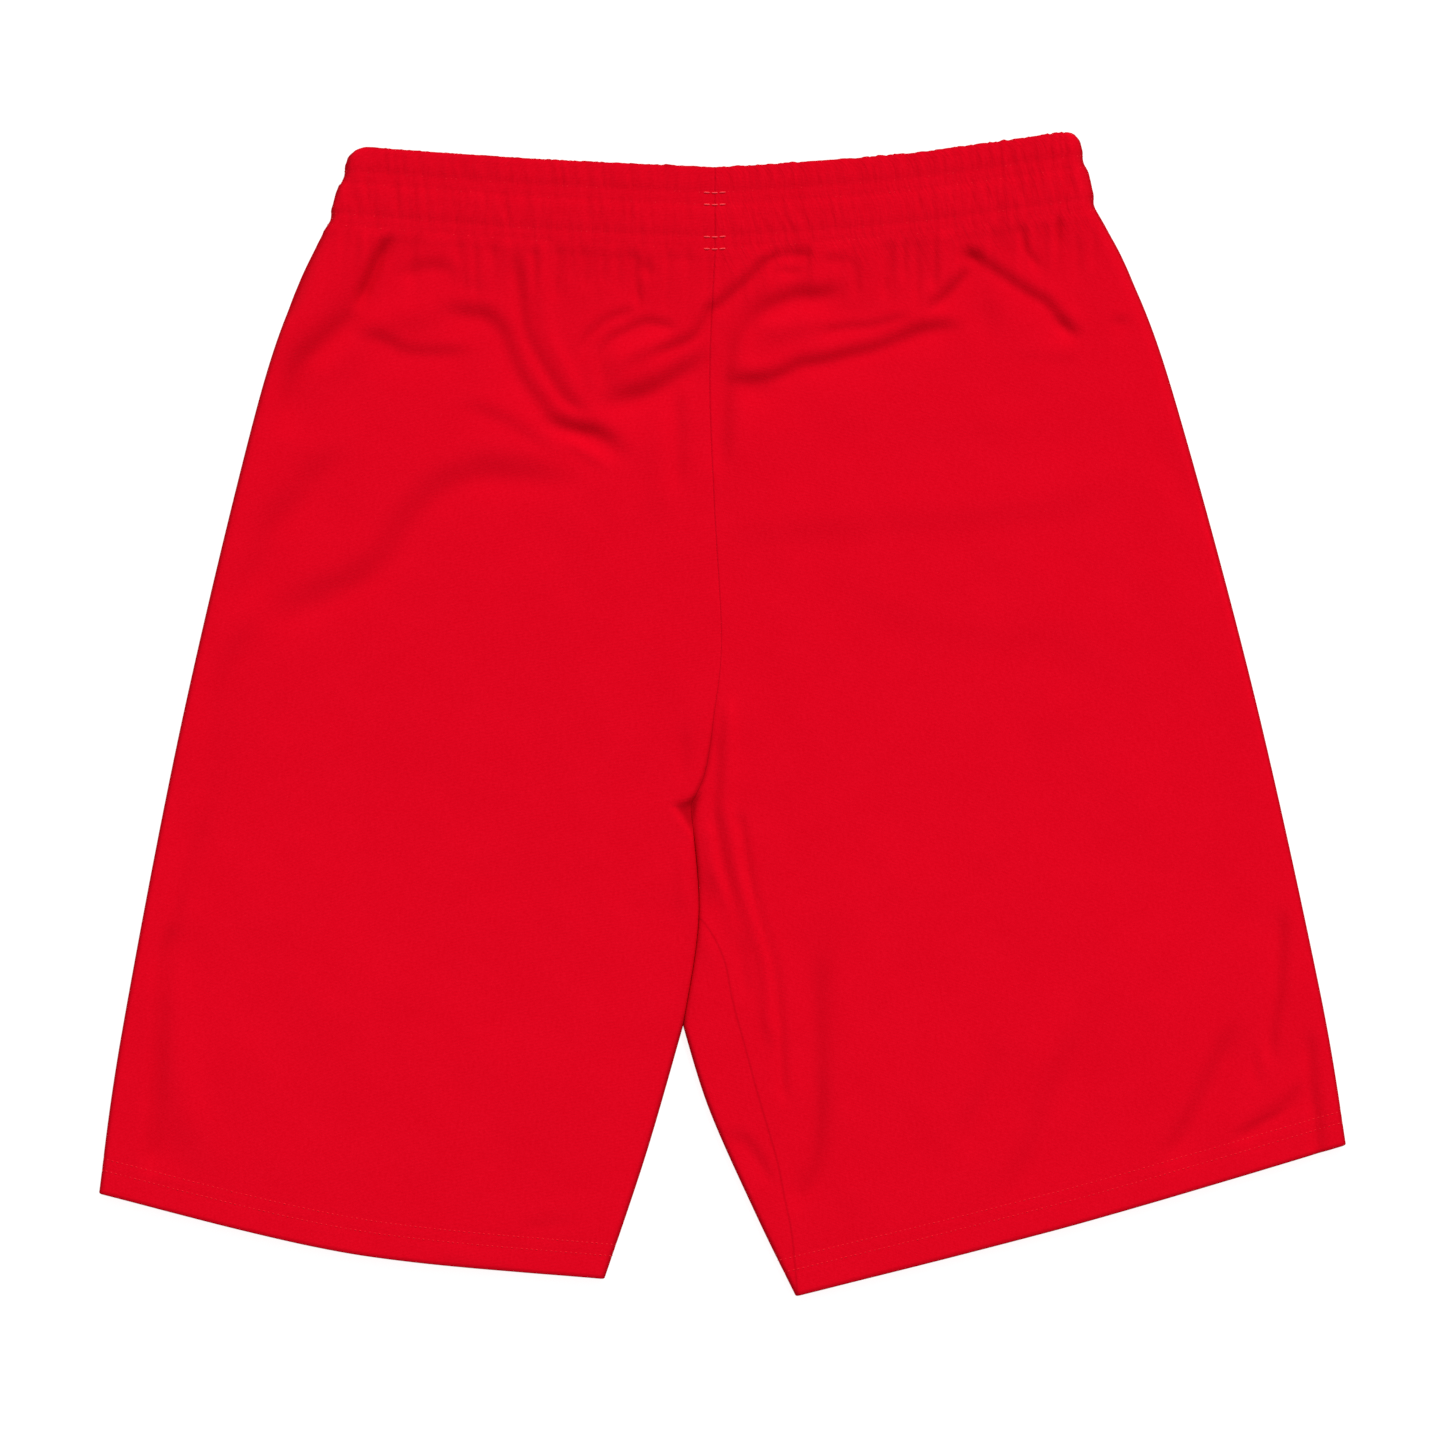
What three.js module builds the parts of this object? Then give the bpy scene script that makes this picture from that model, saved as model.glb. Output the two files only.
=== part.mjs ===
// Knee-length knit boxing shorts with an elastic waist, lying flat with their back upwards.
//
// They are built from the pieces that they are sewn from: four cloth panels, each folded back on itself at
// the hem and over the waist elastic, the elastic with the stitch that joins its ends, the overlocked seams
// inside, and the needle and looper threads of every twin-needle stitch line.
//
// Frame: millimetres, +Z up from the surface that the shorts lie on, +Y towards the waist, and -X on the
// wearer's left. The origin is at the middle of the shorts' outline, on that surface.
import * as THREE from "three";

// ---- Driving dimensions, in millimetres and degrees ----

const WAIST_WIDTH = 361; // across the top of the relaxed band
const BAND_HEIGHT = 43; // from the top fold to below the lowest stitch row
const BACK_RISE = 275; // centre seam from the band to the crotch
const RISE_LEAN = 2.5; // lean of that seam towards the wearer's left
const LEG_CONTACT = 110.5; // below the crotch, where the two legs still lie against each other
const CONTACT_LEAN = 2; // lean of that stretch
const INSEAM_APART = 134; // from there to the hem, where the legs stand apart

const CLOTH = 0.7; // one layer of the knit
const ELASTIC = 1.2; // thickness of the waist elastic
const THREAD = 0.4; // thickness of a line of stitches
const CLEARANCE = 0.3; // between pieces that touch
const HOLLOW = 6; // between the innermost back and front layers

const HEM_ALLOWANCE = 24; // cloth turned up inside the leg
const CASING_ALLOWANCE = 46; // cloth turned down inside the band
const NEEDLE_GAUGE = 6; // between the two rows of a twin-needle stitch
const ROW_WIDTH = 1; // of one needle row
const HEM_ROW = 12.5; // lower hem row above the hem's edge
const MIDDLE_ROW = 13; // upper row of the band's middle stitching, below the top
const LOWER_ROW = 35; // upper row of the band's lower stitching, below the top
const ELASTIC_TOP_MARGIN = 2.2; // from the band's top fold to the elastic
const ELASTIC_WIDTH = 38;
const SEAM_ALLOWANCE = 6; // width of an overlocked seam inside
const SEAM_THICKNESS = 2; // of its two cloth edges and threads
const ZIGZAG_WIDTH = 9; // of the stitch that joins the elastic's ends
const ZIGZAG_POINTS = 5;

// Bows of the edges off their chords: share of the way up from the hem, and how far. The side edges bow
// outwards and the middle edges towards the wearer's right.
const HIP_CURVE = [[0.16, 7.3], [0.48, 13.9], [0.8, 13.4], [0.93, 7.8]];
const RISE_CURVE = [[0.16, 8.8], [0.3, 11.6], [0.55, 5], [0.78, 0]];
const CONTACT_CURVE = [[0.5, 6]];

// The two legs lie a little differently. Hems and band tops bow downwards, inseams towards the right.
const LEGS = {
  left: {
    side: -1,
    bandRise: 10.5, // the band's top corner above its middle
    bandFlare: 18, // lean of the band's end from upright
    sideLength: 494.5, // side seam from the band to the hem
    sideAngle: 13.3,
    hemWidth: 256,
    hemAngle: 9.6,
    hemCurve: [[0.5, 8.6]],
    inseamCurve: [[0.5, 1.4]],
    topCurve: [[0.5, 1]],
  },
  right: {
    side: 1,
    bandRise: 18.5,
    bandFlare: 14,
    sideLength: 480.5,
    sideAngle: 15,
    hemWidth: 285,
    hemAngle: 15.4,
    hemCurve: [[0.5, 2.5]],
    inseamCurve: [[0.3, -2.6], [0.7, -4]],
    topCurve: [[0.5, 2.8]],
  },
};

const RED_KNIT = { color: 0xdf041d, roughness: 0.85, metalness: 0 };
const RED_THREAD = { color: 0xe8202f, roughness: 0.6, metalness: 0 };
const WHITE_ELASTIC = { color: 0xe9e6e0, roughness: 0.8, metalness: 0 };

// ---- Distances and levels that follow from them ----

// Distances up the middle edge from the hem. The side edge is measured on the same scale.
const LEG_SPLIT = INSEAM_APART;
const CROTCH = LEG_SPLIT + LEG_CONTACT;
const BAND_BOTTOM = CROTCH + BACK_RISE;
const PANEL_LENGTH = BAND_BOTTOM + BAND_HEIGHT;
const LOWER_ROW_START = PANEL_LENGTH - LOWER_ROW - NEEDLE_GAUGE;
const MIDDLE_ROW_START = PANEL_LENGTH - MIDDLE_ROW - NEEDLE_GAUGE;

// Heights are measured outwards from the innermost face of a side's layers.
const PUFF = THREAD + CLEARANCE; // how far the cloth stands out beyond its stitched valleys
const HEM_STACK = 2 * CLOTH + CLEARANCE + PUFF;
const BAND_STACK = 2 * CLOTH + 2 * CLEARANCE + ELASTIC + PUFF;
const HALF_HOLLOW = HOLLOW / 2;
const SEAM_GAP = CLEARANCE / 2; // each piece's share of the gap at a seam

const BAND_EASE = 13; // length over which the body thickens to the band
const CROTCH_EASE = 20; // length over which the two legs part
const VALLEY_MARGIN = 1.5; // from a row's middle to the foot of its valley's slope
const VALLEY_SLOPE = 1.5; // length of that slope
const VALLEY_REACH = VALLEY_MARGIN + VALLEY_SLOPE;

/** Height of the plane between the back and the front, at a distance from the hem. */
const middleHeight = (d) => HALF_HOLLOW + THREE.MathUtils.lerp(
  HEM_STACK,
  BAND_STACK,
  THREE.MathUtils.smoothstep(d, BAND_BOTTOM - BAND_EASE, BAND_BOTTOM),
);

// ---- The outline ----

/** The point at a distance from another, at an angle from straight down, turned towards a side. */
const downFrom = (point, length, degrees, side) => {
  const angle = THREE.MathUtils.degToRad(degrees);
  return new THREE.Vector2(point.x + side * length * Math.sin(angle), point.y - length * Math.cos(angle));
};

/** A curve that stands off the chord between two points, to the right of its direction where positive. */
const bowed = (from, to, bows, sign) => {
  const chord = to.clone().sub(from);
  const across = new THREE.Vector2(chord.y, -chord.x).normalize().multiplyScalar(sign);
  const middle = bows.map(([share, bow]) =>
    from.clone().addScaledVector(chord, share).addScaledVector(across, bow));
  return new THREE.SplineCurve([from, ...middle, to]);
};

/** The point at a distance along a chain of curves, each of which ends at its own distance. */
const chain = (...links) => (d) => {
  let start = 0;
  for (const { curve, to } of links) {
    if (d <= to || to === PANEL_LENGTH) {
      return curve.getPointAt(THREE.MathUtils.clamp((d - start) / (to - start), 0, 1));
    }
    start = to;
  }
  return null;
};

const topCentre = new THREE.Vector2(0, 0);
const bandCentre = downFrom(topCentre, BAND_HEIGHT, 0, 1);
const crotchPoint = downFrom(bandCentre, BACK_RISE, RISE_LEAN, -1);
const splitPoint = downFrom(crotchPoint, LEG_CONTACT, CONTACT_LEAN, -1);

/** The four edges of one leg's cloth: the side and the middle run up from the hem, the others inwards. */
const outlineOf = (leg) => {
  const topCorner = new THREE.Vector2(leg.side * WAIST_WIDTH / 2, leg.bandRise);
  const bandCorner = downFrom(topCorner, BAND_HEIGHT, leg.bandFlare, leg.side);
  const hemOuter = downFrom(bandCorner, leg.sideLength, leg.sideAngle, leg.side);
  const hemInner = downFrom(hemOuter, leg.hemWidth, 90 - leg.hemAngle, -leg.side);
  return {
    outer: chain(
      { curve: bowed(hemOuter, bandCorner, HIP_CURVE, leg.side), to: BAND_BOTTOM },
      { curve: new THREE.LineCurve(bandCorner, topCorner), to: PANEL_LENGTH },
    ),
    inner: chain(
      { curve: bowed(hemInner, splitPoint, leg.inseamCurve, 1), to: LEG_SPLIT },
      { curve: bowed(splitPoint, crotchPoint, CONTACT_CURVE, 1), to: CROTCH },
      { curve: bowed(crotchPoint, bandCentre, RISE_CURVE, 1), to: BAND_BOTTOM },
      { curve: new THREE.LineCurve(bandCentre, topCentre), to: PANEL_LENGTH },
    ),
    hem: bowed(hemOuter, hemInner, leg.hemCurve, -leg.side),
    top: bowed(topCorner, topCentre, leg.topCurve, -leg.side),
  };
};

/** The point of a leg's cloth a share of the way in from its side edge, at a distance from the hem. */
const pointIn = ({ outer, inner, hem, top }, across, d) => {
  const up = d / PANEL_LENGTH;
  const share = THREE.MathUtils.clamp(across, 0, 1);
  const sides = outer(d).lerp(inner(d), across);
  const ends = hem.getPointAt(share).lerp(top.getPointAt(share), up);
  const low = outer(0).lerp(inner(0), across);
  const high = outer(PANEL_LENGTH).lerp(inner(PANEL_LENGTH), across);
  return sides.add(ends).sub(low.lerp(high, up));
};

for (const leg of Object.values(LEGS)) leg.outline = outlineOf(leg);

/** Width of a leg's cloth at a distance from the hem. */
const widthAt = ({ outline }, d) => outline.outer(d).distanceTo(outline.inner(d));

// ---- Wrapping layers round the hollow ----

const BACK = 1;
const FRONT = -1;
const ROUND_STEPS = 3;
const FLAT_STEPS = 4;

/** Positions across a leg, from its side seam to its middle edge: a zone and how far through it. */
const stations = [];
for (let i = 0; i < ROUND_STEPS; i += 1) stations.push({ zone: "side", t: 1 - i / ROUND_STEPS });
for (let i = 0; i < FLAT_STEPS; i += 1) stations.push({ zone: "flat", t: i / FLAT_STEPS });
for (let i = 0; i <= ROUND_STEPS; i += 1) stations.push({ zone: "centre", t: i / ROUND_STEPS });

/** The point on a leg at a station, a distance from the hem and a height above the innermost face. */
const wrap = (leg, face, { zone, t }, d, h) => {
  const width = widthAt(leg, d);
  const edge = middleHeight(d);
  const radius = HALF_HOLLOW + h;
  const roundIn = radius * Math.sin(t * Math.PI / 2);
  const roundUp = SEAM_GAP + (radius - SEAM_GAP) * Math.cos(t * Math.PI / 2);
  let fromSide = THREE.MathUtils.lerp(edge, width - edge, t);
  let rise = radius;
  if (zone === "side") {
    fromSide = edge - roundIn;
    rise = roundUp;
  } else if (zone === "centre") {
    const parted = 1 - THREE.MathUtils.smoothstep(d, CROTCH - CROTCH_EASE, CROTCH);
    fromSide = width - edge - SEAM_GAP + THREE.MathUtils.lerp(edge * t, roundIn, parted);
    rise = THREE.MathUtils.lerp(radius, roundUp, parted);
  }
  const flat = pointIn(leg.outline, fromSide / width, d);
  return new THREE.Vector3(flat.x, flat.y, edge + face * rise);
};

/** Reverses the winding of every triangle of a geometry. */
const turnOver = (geometry) => {
  const order = geometry.index ? geometry.index.array : null;
  const position = geometry.getAttribute("position");
  const second = new THREE.Vector3();
  const third = new THREE.Vector3();
  const corners = order ? order.length : position.count;
  for (let i = 0; i < corners; i += 3) {
    if (order) {
      [order[i + 1], order[i + 2]] = [order[i + 2], order[i + 1]];
    } else {
      second.fromBufferAttribute(position, i + 1);
      third.fromBufferAttribute(position, i + 2);
      position.setXYZ(i + 1, third.x, third.y, third.z);
      position.setXYZ(i + 2, second.x, second.y, second.z);
    }
  }
};

/** A geometry with each vertex moved to map(x, y, z, index), turned inside out where asked. */
const reshape = (geometry, map, turned = false) => {
  const position = geometry.getAttribute("position");
  for (let i = 0; i < position.count; i += 1) {
    const p = map(position.getX(i), position.getY(i), position.getZ(i), i);
    position.setXYZ(i, p.x, p.y, p.z);
  }
  if (turned) turnOver(geometry);
  return geometry;
};

// ---- Cloth panels ----

/** `steps` + 1 distances from one to another. */
const spread = (from, to, steps) =>
  Array.from({ length: steps + 1 }, (_, i) => THREE.MathUtils.lerp(from, to, i / steps));

/** The distances at which the body of a panel bends, from above the hem to below the band. */
const bodyStations = [
  ...spread(HEM_ROW + NEEDLE_GAUGE + 2 * VALLEY_REACH, LEG_SPLIT, 4),
  ...spread(LEG_SPLIT, CROTCH - CROTCH_EASE, 3).slice(1),
  ...spread(CROTCH - CROTCH_EASE, CROTCH, 2).slice(1),
  ...spread(CROTCH, BAND_BOTTOM - BAND_EASE, 8).slice(1),
];

/** Points on a half turn of cloth, from the inner layer round to the outer one, bulging along d. */
const foldArc = (d, h, radius, outwards) => spread(-Math.PI / 2, Math.PI / 2, 4).map((angle) =>
  [d + outwards * radius * Math.cos(angle), h + radius * Math.sin(angle)]);

/** A stitched valley under two rows of stitches: down, across both rows and up again. */
const valley = (firstRow, level) => [
  [firstRow - VALLEY_REACH, level],
  [firstRow - VALLEY_MARGIN, level - PUFF],
  [firstRow + NEEDLE_GAUGE + VALLEY_MARGIN, level - PUFF],
  [firstRow + NEEDLE_GAUGE + VALLEY_REACH, level],
];

/** The middle line of a panel's folded cloth, from the end of its hem allowance to that of its casing. */
const foldedLine = () => {
  const inner = CLOTH / 2;
  const hemLevel = HEM_STACK - CLOTH / 2;
  const bandLevel = BAND_STACK - CLOTH / 2;
  const hemRadius = (hemLevel - inner) / 2;
  const bandRadius = (bandLevel - inner) / 2;
  const topFold = PANEL_LENGTH - bandRadius - CLOTH / 2;
  return [
    [HEM_ALLOWANCE, inner],
    ...foldArc(hemRadius + CLOTH / 2, inner + hemRadius, hemRadius, -1),
    ...valley(HEM_ROW, hemLevel),
    ...bodyStations.map((d) => [d, hemLevel]),
    [BAND_BOTTOM - BAND_EASE / 2, (hemLevel + bandLevel - PUFF) / 2],
    ...valley(LOWER_ROW_START, bandLevel).slice(1),
    ...valley(MIDDLE_ROW_START, bandLevel),
    ...foldArc(topFold, inner + bandRadius, bandRadius, 1).reverse(),
    [(topFold + BAND_BOTTOM) / 2, inner],
    [BAND_BOTTOM, inner],
    [PANEL_LENGTH - CASING_ALLOWANCE, inner],
  ];
};

/** The points beside a line of [d, h] points, half a cloth's thickness off it on one side. */
const besideLine = (line, side) => {
  const points = line.map(([d, h]) => new THREE.Vector2(d, h));
  return points.map((point, i) => {
    const into = point.clone().sub(points[Math.max(i - 1, 0)]).normalize();
    const out = points[Math.min(i + 1, points.length - 1)].clone().sub(point).normalize();
    const along = into.add(out).normalize().multiplyScalar(side * CLOTH / 2);
    return [point.x - along.y, point.y + along.x];
  });
};

/** One cloth panel, folded at the hem and over the band, and wrapped round its half of a leg. */
const panel = (leg, face) => {
  const faces = [besideLine(foldedLine(), -1), besideLine(foldedLine(), 1)];
  const across = stations.length - 1;
  const along = faces[0].length - 1;
  const geometry = new THREE.BoxGeometry(1, 1, 1, across, along, 1).translate(0.5, 0.5, 0.5);
  return reshape(geometry, (x, y, z) => {
    const [d, h] = faces[Math.round(z)][Math.round(y * along)];
    return wrap(leg, face, stations[Math.round(x * across)], d, h);
  }, leg.side * face > 0);
};

// ---- Threads and the elastic ----

const { left, right } = LEGS;
const inwards = (leg, face) => stations.map((station) => [leg, face, station]);
const outwards = (leg, face) => inwards(leg, face).reverse();
const aroundLeg = (leg) => [...inwards(leg, BACK), ...outwards(leg, FRONT)];
const aroundWaist = [
  ...inwards(left, BACK),
  ...outwards(right, BACK),
  ...inwards(right, FRONT),
  ...outwards(left, FRONT),
];

/** A closed band of thread: its loop, its lower edge, width, level and whether its faces turn over. */
const ring = (loop, d, width, level, turned) => {
  const corners = [[0, 0], [1, 0], [1, 1], [0, 1]];
  const geometry = new THREE.TorusGeometry(2, 1, corners.length, loop.length);
  const uv = geometry.getAttribute("uv");
  return reshape(geometry, (x, y, z, i) => {
    const [leg, face, station] = loop[Math.round(uv.getX(i) * loop.length) % loop.length];
    const [wide, thick] = corners[Math.round(uv.getY(i) * corners.length) % corners.length];
    return wrap(leg, face, station, d + wide * width, level + thick * THREAD);
  }, turned);
};

/** The threads of one line of twin-needle stitches: two needle rows outside and the looper inside. */
const stitchLine = (loop, firstRow, stack, turned) => {
  const level = stack - PUFF + CLEARANCE - 0.05;
  return {
    lower_needle_thread: ring(loop, firstRow - ROW_WIDTH / 2, ROW_WIDTH, level, turned),
    upper_needle_thread: ring(loop, firstRow + NEEDLE_GAUGE - ROW_WIDTH / 2, ROW_WIDTH, level, turned),
    looper_thread: ring(loop, firstRow, NEEDLE_GAUGE, -CLEARANCE - THREAD, turned),
  };
};

/** The elastic: a strip round the waist whose two ends meet at the centre back. */
const elastic = () => {
  const loop = [...outwards(right, BACK), ...inwards(right, FRONT), ...outwards(left, FRONT), ...inwards(left, BACK)];
  const steps = loop.length - 1;
  const lower = PANEL_LENGTH - ELASTIC_TOP_MARGIN - ELASTIC_WIDTH;
  const geometry = new THREE.BoxGeometry(1, 1, 1, steps, 1, 1).translate(0.5, 0.5, 0.5);
  return reshape(geometry, (x, y, z) => {
    const [leg, face, station] = loop[Math.round(x * steps)];
    return wrap(leg, face, station, lower + y * ELASTIC_WIDTH, CLOTH + CLEARANCE + z * ELASTIC);
  });
};

/** The point beside the centre seam, at an offset from it, a distance from the hem and a height. */
const nearCentre = (face, offset, d, h) => {
  const middle = right.outline.inner(d);
  return new THREE.Vector3(middle.x + offset, middle.y, middleHeight(d) + face * (HALF_HOLLOW + h));
};

/** The zigzag stitch across the elastic's joint, between the band's two lines of stitches. */
const elasticJoin = () => {
  const heights = spread(LOWER_ROW_START + NEEDLE_GAUGE + VALLEY_REACH, MIDDLE_ROW_START - VALLEY_REACH, ZIGZAG_POINTS);
  const line = heights.map((d, i) => new THREE.Vector2((i % 2 ? 1 : -1) * ZIGZAG_WIDTH / 4, d));
  const sideOf = (offset) => line.map(({ x, y }) => new THREE.Vector2(x + offset, y));
  const shape = new THREE.Shape([...sideOf(ZIGZAG_WIDTH / 4), ...sideOf(-ZIGZAG_WIDTH / 4).reverse()]);
  const level = CLOTH + 2 * CLEARANCE + ELASTIC;
  return reshape(
    new THREE.ExtrudeGeometry(shape, { depth: THREAD, bevelEnabled: false }),
    (x, y, z) => nearCentre(BACK, x, y, level + z),
  );
};

// ---- Overlocked seams inside ----

const SEAM_START = HEM_ALLOWANCE + CLEARANCE;
const SEAM_END = BAND_BOTTOM - BAND_EASE;

/** A flat strip along a seam: map takes -1 to 1 across, the distance from the hem and -1 to 1 through. */
const seamStrip = (from, to, map, turned) => {
  const bends = [from, ...bodyStations.filter((d) => d > from + 1 && d < to - 1), to];
  const geometry = new THREE.BoxGeometry(2, 1, 2, 1, bends.length - 1, 1).translate(0, 0.5, 0);
  return reshape(geometry, (x, y, z) => map(x, bends[Math.round(y * (bends.length - 1))], z), turned);
};

/** The seam up the middle of the back or the front, above the crotch. */
const riseSeam = (face) => {
  const level = HEM_STACK - CLOTH - CLEARANCE - SEAM_THICKNESS / 2;
  return seamStrip(
    CROTCH,
    SEAM_END,
    (x, d, z) => nearCentre(face, x * SEAM_ALLOWANCE / 2, d, level + z * SEAM_THICKNESS / 2),
    face < 0,
  );
};

/** A seam in the fold at one edge of a leg: share turns a distance in from that edge into one across. */
const edgeSeam = (leg, to, share, turned) => seamStrip(SEAM_START, to, (x, d, z) => {
  const inset = CLOTH + 2 * CLEARANCE + (x + 1) / 2 * SEAM_ALLOWANCE;
  const flat = pointIn(leg.outline, share(inset / widthAt(leg, d)), d);
  return new THREE.Vector3(flat.x, flat.y, middleHeight(d) + z * SEAM_THICKNESS / 2);
}, turned);
const sideSeam = (leg) => edgeSeam(leg, SEAM_END, (inset) => inset, leg.side > 0);
const inseam = (leg) => edgeSeam(leg, CROTCH - CROTCH_EASE, (inset) => 1 - inset, leg.side < 0);

// ---- The assembly ----

const shorts = new THREE.Group();

/** Adds one named piece to the shorts. */
const add = (name, geometry, finish) => {
  const mesh = new THREE.Mesh(geometry, new THREE.MeshStandardMaterial(finish));
  mesh.name = name;
  shorts.add(mesh);
};

/** Adds the pieces of one line of stitches. */
const addStitches = (name, threads) => {
  for (const [thread, geometry] of Object.entries(threads)) add(`${name}_${thread}`, geometry, RED_THREAD);
};

for (const [side, leg] of Object.entries(LEGS)) {
  add(`back_${side}_panel`, panel(leg, BACK), RED_KNIT);
  add(`front_${side}_panel`, panel(leg, FRONT), RED_KNIT);
  add(`side_seam_${side}`, sideSeam(leg), RED_THREAD);
  add(`inseam_${side}`, inseam(leg), RED_THREAD);
  addStitches(`hem_${side}`, stitchLine(aroundLeg(leg), HEM_ROW, HEM_STACK, leg.side < 0));
}
add("rise_seam_back", riseSeam(BACK), RED_THREAD);
add("rise_seam_front", riseSeam(FRONT), RED_THREAD);
add("waist_elastic", elastic(), WHITE_ELASTIC);
add("elastic_join_zigzag", elasticJoin(), RED_THREAD);
addStitches("waist_middle", stitchLine(aroundWaist, MIDDLE_ROW_START, BAND_STACK, true));
addStitches("waist_lower", stitchLine(aroundWaist, LOWER_ROW_START, BAND_STACK, true));

// The origin goes to the middle of the outline, on the surface below.
const bounds = new THREE.Box3().setFromObject(shorts, true);
const middle = bounds.getCenter(new THREE.Vector3());
for (const mesh of shorts.children) mesh.geometry.translate(-middle.x, -middle.y, -bounds.min.z);

export default shorts;
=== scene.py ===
"""Knee-length red knit boxing shorts, laid flat with their back upwards.

Lengths are in millimetres while a shape is worked out, and in metres once it becomes a mesh.
Distances along a leg run up from the hem's edge, and distances across it run in from its side seam.
"""

import sys
import logging
import math
from collections.abc import Callable
from dataclasses import dataclass, field
from enum import Enum

import bpy
import numpy as np
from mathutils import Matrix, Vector


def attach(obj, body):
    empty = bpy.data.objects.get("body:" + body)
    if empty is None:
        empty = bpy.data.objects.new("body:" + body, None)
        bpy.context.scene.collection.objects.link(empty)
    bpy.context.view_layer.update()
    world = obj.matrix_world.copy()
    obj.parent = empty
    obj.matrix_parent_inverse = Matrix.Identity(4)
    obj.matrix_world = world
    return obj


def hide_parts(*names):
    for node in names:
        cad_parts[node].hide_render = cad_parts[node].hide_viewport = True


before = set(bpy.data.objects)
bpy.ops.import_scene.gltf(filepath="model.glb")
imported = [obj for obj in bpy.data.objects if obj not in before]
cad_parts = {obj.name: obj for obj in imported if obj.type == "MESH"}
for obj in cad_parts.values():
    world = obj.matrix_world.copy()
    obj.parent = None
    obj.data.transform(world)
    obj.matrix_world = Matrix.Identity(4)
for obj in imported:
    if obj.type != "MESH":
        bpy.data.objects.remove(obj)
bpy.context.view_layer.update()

logging.basicConfig(level=logging.INFO, format="%(message)s", stream=sys.stdout)
LOG = logging.getLogger("shorts")

MM = 0.001
SEED = 41
EDGE_POINTS = 240


# ---------------------------------------------------------------- Shader maths


class Sock:
    """A shader socket with arithmetic: each operator adds the Math node that it stands for."""

    def __init__(self, graph: "Graph", socket: bpy.types.NodeSocket) -> None:
        """Wraps an output socket of a graph."""
        self.graph = graph
        self.socket = socket

    def _math(self, operation: str, *values: "Sock | float") -> "Sock":
        """Adds a Math node.

        Args:
            operation: The node's operation.
            values: Its inputs, in order.

        Returns:
            The node's output.
        """
        return self.graph.node("ShaderNodeMath", {"operation": operation}, dict(enumerate(values)))

    def __add__(self, other: "Sock | float") -> "Sock":
        """self + other."""
        return self._math("ADD", self, other)

    __radd__ = __add__

    def __sub__(self, other: "Sock | float") -> "Sock":
        """self - other."""
        return self._math("SUBTRACT", self, other)

    def __rsub__(self, other: float) -> "Sock":
        """other - self."""
        return self._math("SUBTRACT", other, self)

    def __mul__(self, other: "Sock | float") -> "Sock":
        """self * other."""
        return self._math("MULTIPLY", self, other)

    __rmul__ = __mul__

    def __rpow__(self, other: float) -> "Sock":
        """other ** self."""
        return self._math("POWER", other, self)

    def __abs__(self) -> "Sock":
        """The size of self."""
        return self._math("ABSOLUTE", self)

    def sin(self) -> "Sock":
        """The sine of self, in radians."""
        return self._math("SINE", self)


class Graph:
    """The node tree of one material."""

    def __init__(self, name: str) -> None:
        """Makes a material with an empty tree."""
        self.material = bpy.data.materials.new(name)
        self.material.use_nodes = True
        self.tree = self.material.node_tree
        self.tree.nodes.clear()

    def node(self, kind: str, settings: dict, inputs: dict, output: str | int = 0) -> Sock:
        """Adds a node.

        Args:
            kind: The node's type.
            settings: Its properties, set before its inputs.
            inputs: Values or links of its sockets, by name or number.
            output: The output wanted.

        Returns:
            That output.
        """
        node = self.tree.nodes.new(kind)
        for key, value in settings.items():
            setattr(node, key, value)
        for key, value in inputs.items():
            if isinstance(value, Sock):
                self.tree.links.new(value.socket, node.inputs[key])
            else:
                node.inputs[key].default_value = value
        return Sock(self, node.outputs[output])

    def mix(self, low: tuple | Sock, high: tuple | Sock, factor: Sock | float) -> Sock:
        """Blends two colours."""
        settings = {"data_type": "RGBA", "blend_type": "MIX"}
        return self.node("ShaderNodeMix", settings, {0: factor, 6: low, 7: high}, 2)

    def noise(self, vector: Sock, scale: float, detail: float = 2.0) -> Sock:
        """Noise about 0.5 at a scale."""
        return self.node("ShaderNodeTexNoise", {}, {"Vector": vector, "Scale": scale, "Detail": detail})

    def stretched(self, vector: Sock, scale: tuple[float, float, float]) -> Sock:
        """A vector with each part multiplied."""
        return self.node("ShaderNodeVectorMath", {"operation": "MULTIPLY"}, {0: vector, 1: scale})

    def part(self, vector: Sock, axis: int) -> Sock:
        """One part of a vector."""
        return self.node("ShaderNodeSeparateXYZ", {}, {0: vector}, axis)

    def attribute(self, name: str, output: str = "Fac") -> Sock:
        """Values that the mesh carries under a name."""
        return self.node("ShaderNodeAttribute", {"attribute_name": name}, {}, output)

    def bands(self, direction: str, scale: float, distortion: float) -> Sock:
        """Fine bands across the object, such as a thread's twist."""
        place = self.node("ShaderNodeTexCoord", {}, {}, "Object")
        settings = {"wave_type": "BANDS", "bands_direction": direction}
        inputs = {"Vector": place, "Scale": scale, "Distortion": distortion}
        return self.node("ShaderNodeTexWave", settings, inputs, "Fac")

    def bump(self, height: Sock, strength: float, distance: float) -> Sock:
        """A normal that follows fine heights."""
        inputs = {"Strength": strength, "Distance": distance, "Height": height}
        return self.node("ShaderNodeBump", {}, inputs)

    def surface(self, inputs: dict) -> bpy.types.Material:
        """Ends the tree in a Principled shader with these inputs and returns the material."""
        shader = self.node("ShaderNodeBsdfPrincipled", {}, inputs)
        out = self.tree.nodes.new("ShaderNodeOutputMaterial")
        self.tree.links.new(shader.socket, out.inputs["Surface"])
        return self.material


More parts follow.
